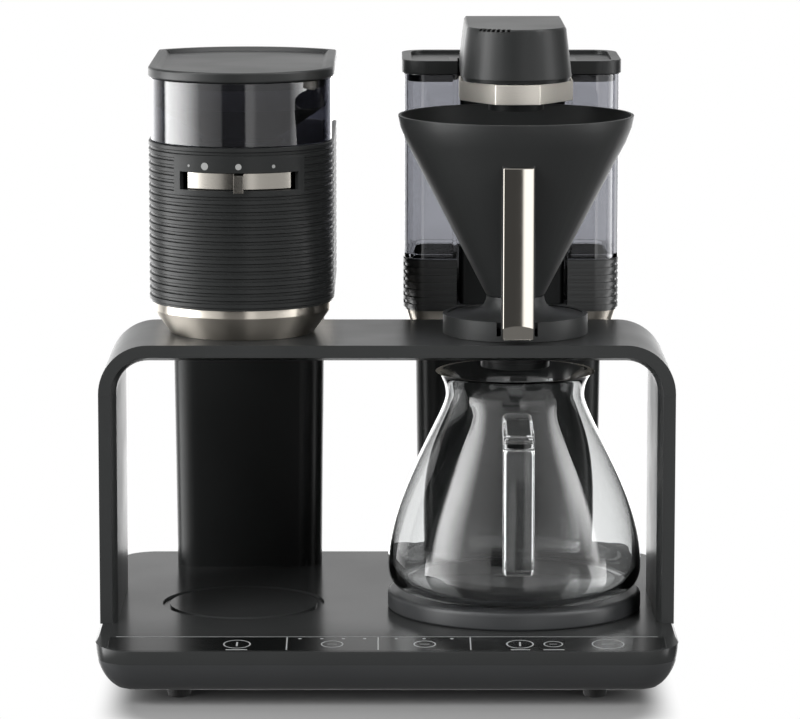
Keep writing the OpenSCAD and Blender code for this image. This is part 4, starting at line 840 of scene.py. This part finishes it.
@dataclass
class Carafe:
    """Glass carafe with its glass handle."""

    axis: tuple[float, float] = BREW_AXIS
    foot_z: float = 51.3
    height: float = 135.9
    belly_r: float = 78.4
    belly_up: float = 15.0
    foot_r: float = 66.0
    neck_r: float = 42.6
    neck_down: float = 14.5
    rim_r: float = 49.0
    wall: float = 2.4
    floor: float = 3.0
    # Hollow under the foot: its height, and its distance inside the foot
    hollow: tuple[float, float] = (0.6, 6.0)
    lip_share: float = 0.4
    # How far each curve of the section runs straight on at its two ends, and its number of points
    foot_pull: tuple[float, float] = (8.0, 9.0)
    flank_pull: tuple[float, float] = (44.0, 12.0)
    neck_pull: float = 7.0
    rim_pull: tuple[float, float] = (3.0, 1.0)
    curve_steps: tuple[int, int, int] = (12, 30, 12)
    turn_steps: int = 128
    grip_half: float = 9.5
    grip_deep: float = 11.0
    grip_low: float = 24.0
    grip_top: float = 110.0
    grip_gap: float = 0.6
    grip_round: float = 3.3
    # Arm: its thickness as a share of the grip's depth
    arm_share: float = 0.9
    # Its end at the neck: radius, and height above the grip's top
    arm_upper: tuple[float, float] = (43.7, 7.1)
    arm_lower: tuple[float, float] = (48.3, -3.9)
    heel_r: float = 78.2

    def flank(self, inset: float, lift: float) -> list[tuple[float, float]]:
        """Return the glass section from foot to rim.

        Args:
            inset: Distance inside the outer surface, in millimetres.
            lift: Distance above it, in millimetres.

        Returns:
            Points of radius and height in millimetres.
        """
        low = self.foot_z + lift
        belly = low + self.belly_up
        rim = self.foot_z + self.height
        neck = rim - self.neck_down
        rb, rn, rr, rf = (r - inset for r in (self.belly_r, self.neck_r, self.rim_r, self.foot_r))
        curves = (
            ((rf, low), (rf + self.foot_pull[0], low), (rb, belly - self.foot_pull[1]), (rb, belly)),
            ((rb, belly), (rb, belly + self.flank_pull[0]), (rn, neck - self.flank_pull[1]), (rn, neck)),
            ((rn, neck), (rn, neck + self.neck_pull), (rr - self.rim_pull[0], rim - self.rim_pull[1]),
             (rr, rim)))
        section = [(rf, low)]
        for curve, steps in zip(curves, self.curve_steps):
            section += bezier(curve, steps)
        return section

    def body(self, bm: bmesh.types.BMesh) -> None:
        """Blow the body: outer skin, rounded rim and inner skin in one turn."""
        outer = self.flank(0, 0)
        inner = self.flank(self.wall, self.floor)
        hollow_z = self.foot_z + self.hollow[0]
        lip = (outer[-1][0] - self.wall * self.lip_share, outer[-1][1])
        section = [(0, hollow_z), (self.foot_r - self.hollow[1], hollow_z)] + outer + [lip] + inner[::-1]
        section += [(0, self.foot_z + self.floor)]
        spin_section(bm, section, self.axis, self.turn_steps)

    def grip(self, bm: bmesh.types.BMesh) -> None:
        """Cast the handle: an upright bar with an arm to the neck and a foot on the belly."""
        back = self.belly_r + self.grip_gap
        front = back + self.grip_deep
        low = self.foot_z + self.grip_low
        top = self.foot_z + self.grip_top
        outline = (
            (front, low), (front, top), (self.arm_upper[0], top + self.arm_upper[1]),
            (self.arm_lower[0], top + self.arm_lower[1]), (back, top - self.arm_share * self.grip_deep),
            (self.heel_r, low))
        left = (self.axis[0] - self.grip_half) * MM
        verts = [bm.verts.new((left, (self.axis[1] - r) * MM, z * MM)) for r, z in outline]
        face = bm.faces.new(verts)
        made = bmesh.ops.extrude_face_region(bm, geom=[face])
        moved = [g for g in made["geom"] if isinstance(g, bmesh.types.BMVert)]
        bmesh.ops.translate(bm, verts=moved, vec=(2 * self.grip_half * MM, 0, 0))
        bmesh.ops.recalc_face_normals(bm, faces=bm.faces[:])
        bmesh.ops.bevel(bm, geom=bm.edges[:], offset=self.grip_round * MM, offset_type="OFFSET",
                        affect="EDGES", segments=5, profile=0.5, material=-1, clamp_overlap=True)

    def build(self, shop: Workshop) -> None:
        """Make the body and the handle in place of their solids."""
        shop.piece("carafe_body", "carafe", GLASS, self.body, "carafe_glass")
        shop.piece("carafe_grip", "carafe", GRIP, self.grip, "carafe_handle")


@dataclass(frozen=True)
class Softbox:
    """Rectangular softbox, with its place and size in metres."""

    name: str
    place: tuple[float, float, float]
    size: tuple[float, float]
    watts: float

    def hang(self, aim: Vector) -> None:
        """Hang the softbox, unseen in mirrors and glass.

        Args:
            aim: Point that it faces.
        """
        data = bpy.data.lights.new(self.name, "AREA")
        data.shape = "RECTANGLE"
        data.size, data.size_y = self.size
        data.energy = self.watts
        lamp = bpy.data.objects.new(self.name, data)
        lamp.location = self.place
        lamp.rotation_euler = (aim - Vector(self.place)).to_track_quat("-Z", "Y").to_euler()
        lamp.visible_glossy = False
        lamp.visible_transmission = False
        bpy.context.scene.collection.objects.link(lamp)


@dataclass
class Studio:
    """Camera, softboxes, white surroundings and pale floor."""

    eye: tuple[float, float, float] = (0.0, -2.7032, 0.600)
    pitch_deg: float = 8.62
    lens_mm: float = 197.4
    sensor_mm: float = 36.0
    shift_x: float = 0.01625
    view_end: float = 50.0
    aim: tuple[float, float, float] = (0.0, 0.0, 0.2)
    softboxes: tuple[Softbox, ...] = (
        Softbox("softbox_left", (-1.5, -1.3, 0.9), (1.0, 1.5), 46),
        Softbox("softbox_right", (1.5, -1.3, 0.9), (1.0, 1.5), 27),
        Softbox("softbox_top", (0.0, 0.1, 1.9), (1.4, 1.2), 5))
    floor_half: float = 4.0
    # Grey inside the shadow's rounded rectangle, darker than the white around it: painted shade that also
    # takes the cast shadow
    shaded_floor_paint: str = "#a4a4a4"
    shadow_half: tuple[float, float] = (0.152, 0.170)
    shadow_fade: float = 0.025
    shadow_round: float = 0.06
    ambient: float = 0.2
    card_level: float = 14.0
    sky: float = 0.25
    under: float = 0.015
    # Cards that mirrors see: turn from the front in degrees, to the right, and brightness there
    ground_cards: tuple[tuple[float, float], ...] = (
        (-180, 0.2), (-150, 0.2), (-114, 0.0), (-108, 0.85), (-88, 0.8), (-72, 0.55), (-52, 0.12),
        (-24, 0.06), (-22, 0.005), (6, 0.005), (8, 0.13), (16, 0.13), (22, 0.07), (66, 0.06), (80, 0.3),
        (92, 0.6), (96, 0.0), (140, 0.0), (155, 0.2))
    low_cards: tuple[tuple[float, float], ...] = (
        (-180, 0.08), (-150, 0.08), (-114, 0.02), (-84, 0.02), (-80, 0.72), (-72, 0.55), (-52, 0.12),
        (-24, 0.06), (-22, 0.005), (6, 0.005), (8, 0.13), (16, 0.13), (22, 0.07), (66, 0.06), (74, 0.2),
        (80, 0.45), (84, 0.02), (130, 0.02), (155, 0.08))
    high_cards: tuple[tuple[float, float], ...] = (
        (-180, 0.03), (-140, 0.03), (-84, 0.02), (-80, 0.9), (-74, 0.65), (-50, 0.08), (-10, 0.035),
        (20, 0.035), (56, 0.08), (74, 0.55), (80, 0.85), (84, 0.02), (140, 0.03))
    # Height of a ray's direction at which a zone of cards begins and is full
    low_zone: tuple[float, float] = (-0.06, 0.02)
    high_zone: tuple[float, float] = (0.06, 0.46)
    sky_zone: tuple[float, float] = (0.80, 0.92)
    under_zone: tuple[float, float] = (-0.28, -0.40)
    # What glass shows: the backdrop towards the back, from its dim level to white, and the cards in front
    backdrop_zone: tuple[float, float] = (-0.05, 0.4)
    backdrop_dim: float = 0.2
    front_zone: tuple[float, float] = (-0.1, -0.3)

    def camera(self) -> None:
        """Place the camera where the photograph was taken from."""
        data = bpy.data.cameras.new("camera")
        data.lens = self.lens_mm
        data.sensor_width = self.sensor_mm
        data.shift_x = self.shift_x
        data.clip_end = self.view_end
        camera = bpy.data.objects.new("camera", data)
        camera.location = self.eye
        camera.rotation_euler = (math.radians(90 - self.pitch_deg), 0, 0)
        bpy.context.scene.collection.objects.link(camera)
        bpy.context.scene.camera = camera

    def cards(self, tree: bpy.types.NodeTree, way: bpy.types.Node) -> bpy.types.NodeSocket:
        """Lay out the bright cards and the dark gap between them, by turn and height.

        Args:
            tree: The world's node tree.
            way: Node that splits a ray's direction.

        Returns:
            Socket with the brightness in that direction.
        """
        front = add_node(tree, "ShaderNodeMath", {0: way.outputs["Y"], 1: -1.0}, operation="MULTIPLY")
        turn = add_node(tree, "ShaderNodeMath", {
            0: way.outputs["X"], 1: front.outputs[0]}, operation="ARCTAN2")
        around = add_node(tree, "ShaderNodeMapRange", {
            "Value": turn.outputs[0], "From Min": -math.pi, "From Max": math.pi})
        rows = []
        for stops in (self.ground_cards, self.low_cards, self.high_cards):
            ramp = add_node(tree, "ShaderNodeValToRGB", {"Fac": around.outputs["Result"]})
            while len(ramp.color_ramp.elements) < len(stops):
                ramp.color_ramp.elements.new(0.5)
            for element, (degrees, level) in zip(ramp.color_ramp.elements, stops):
                element.position = (degrees + 180) / 360
                element.color = grey(level)
            rows.append(ramp.outputs["Color"])
        ground, low, high = rows
        seen = ground
        for (begin, full), level in ((self.low_zone, low), (self.high_zone, high),
                                     (self.sky_zone, grey(self.sky)), (self.under_zone, grey(self.under))):
            height = add_node(tree, "ShaderNodeMapRange", {
                "Value": way.outputs["Z"], "From Min": begin, "From Max": full})
            zone = add_node(tree, "ShaderNodeMix", {
                "Factor": height.outputs["Result"], MIX_A: seen, MIX_B: level}, data_type="RGBA")
            seen = zone.outputs[MIX_RESULT]
        bright = add_node(tree, "ShaderNodeVectorMath", {
            0: seen, "Scale": self.card_level}, operation="SCALE")
        return bright.outputs[0]

    def world(self) -> None:
        """Set up the white backdrop, with cards for mirrors and glass and a dim light all round."""
        world = bpy.data.worlds.new("studio")
        bpy.context.scene.world = world
        world.use_nodes = True
        tree = world.node_tree
        tree.nodes.clear()
        path = add_node(tree, "ShaderNodeLightPath")
        direction = add_node(tree, "ShaderNodeTexCoord").outputs["Generated"]
        way = add_node(tree, "ShaderNodeSeparateXYZ", {0: direction})
        cards = self.cards(tree, way)
        room = add_node(tree, "ShaderNodeMix", {
            "Factor": path.outputs["Is Glossy Ray"], MIX_A: grey(self.ambient), MIX_B: cards},
            data_type="RGBA")
        behind = add_node(tree, "ShaderNodeMapRange", {
            "Value": way.outputs["Y"], "From Min": self.backdrop_zone[0], "From Max": self.backdrop_zone[1],
            "To Min": self.backdrop_dim, "To Max": 1.0})
        ahead = add_node(tree, "ShaderNodeMapRange", {
            "Value": way.outputs["Y"], "From Min": self.front_zone[0], "From Max": self.front_zone[1]})
        through = add_node(tree, "ShaderNodeMix", {
            "Factor": ahead.outputs["Result"], MIX_A: behind.outputs["Result"], MIX_B: cards},
            data_type="RGBA")
        glass = add_node(tree, "ShaderNodeMix", {
            "Factor": path.outputs["Is Transmission Ray"], MIX_A: room.outputs[MIX_RESULT],
            MIX_B: through.outputs[MIX_RESULT]}, data_type="RGBA")
        colour = add_node(tree, "ShaderNodeMix", {
            "Factor": path.outputs["Is Camera Ray"], MIX_A: glass.outputs[MIX_RESULT], MIX_B: grey(1.0)},
            data_type="RGBA")
        back = add_node(tree, "ShaderNodeBackground", {"Color": colour.outputs[MIX_RESULT], "Strength": 1.0})
        add_node(tree, "ShaderNodeOutputWorld", {"Surface": back.outputs[0]})

    def floor_material(self) -> bpy.types.Material:
        """Make the floor's paint, which keeps the shadow and darkens it with a grey patch of painted shade
        round the base, fades to white and is clear from below.

        Returns:
            The material.
        """
        material = bpy.data.materials.new("pale_floor")
        material.use_nodes = True
        tree = material.node_tree
        tree.nodes.clear()
        path = add_node(tree, "ShaderNodeLightPath")
        place = add_node(tree, "ShaderNodeTexCoord").outputs["Object"]
        span = add_node(tree, "ShaderNodeVectorMath", {0: place}, operation="ABSOLUTE")
        edge = add_node(tree, "ShaderNodeVectorMath", {
            0: span.outputs[0], 1: (*self.shadow_half, 0)}, operation="SUBTRACT")
        sides = add_node(tree, "ShaderNodeSeparateXYZ", {0: edge.outputs[0]})
        reach = add_node(tree, "ShaderNodeMath", {
            0: sides.outputs["X"], 1: sides.outputs["Y"], 2: self.shadow_round}, operation="SMOOTH_MAX")
        fade = add_node(tree, "ShaderNodeMapRange", {
            "Value": reach.outputs[0], "From Max": self.shadow_fade}, interpolation_type="SMOOTHSTEP")
        seen = add_node(tree, "ShaderNodeMath", {
            0: path.outputs["Is Camera Ray"], 1: path.outputs["Is Transmission Ray"]}, operation="MAXIMUM")
        white = add_node(tree, "ShaderNodeMath", {
            0: fade.outputs["Result"], 1: seen.outputs[0]}, operation="MULTIPLY")
        # Painted shade: the grey paint inside the mask
        paint = add_node(tree, "ShaderNodeBsdfDiffuse", {"Color": linear(self.shaded_floor_paint)})
        glow = add_node(tree, "ShaderNodeEmission", {"Color": grey(1.0), "Strength": 1.0})
        mix = add_node(tree, "ShaderNodeMixShader", {
            0: white.outputs[0], 1: paint.outputs[0], 2: glow.outputs[0]})
        clear = add_node(tree, "ShaderNodeBsdfTransparent")
        side = add_node(tree, "ShaderNodeNewGeometry").outputs["Backfacing"]
        sheet = add_node(tree, "ShaderNodeMixShader", {0: side, 1: mix.outputs[0], 2: clear.outputs[0]})
        add_node(tree, "ShaderNodeOutputMaterial", {"Surface": sheet.outputs[0]})
        return material

    def floor(self) -> None:
        """Lay the pale floor, unseen in mirrors."""
        bm = bmesh.new()
        bmesh.ops.create_grid(bm, x_segments=1, y_segments=1, size=self.floor_half)
        mesh = bpy.data.meshes.new("floor")
        bm.to_mesh(mesh)
        bm.free()
        mesh.materials.append(self.floor_material())
        floor = bpy.data.objects.new("floor", mesh)
        floor.visible_glossy = False
        bpy.context.scene.collection.objects.link(floor)

    def build(self) -> None:
        """Set up the whole studio."""
        self.camera()
        self.world()
        self.floor()
        for softbox in self.softboxes:
            softbox.hang(Vector(self.aim))
        bpy.context.scene.view_settings.view_transform = "Standard"


def main() -> None:
    logging.basicConfig(level=logging.INFO, format="%(name)s: %(message)s")
    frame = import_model()
    Studio().build()
    shop = Workshop(frame["nodes"])
    for assembly in (Base(), Bridge(), Grinder(), Tank(), Head(), Filter(), Carafe()):
        assembly.build(shop)
    bare = sorted(set(frame["nodes"]) - set(shop.done))
    if bare:
        LOG.warning("nodes without a finish: %s", bare)


if __name__ == "__main__":
    main()
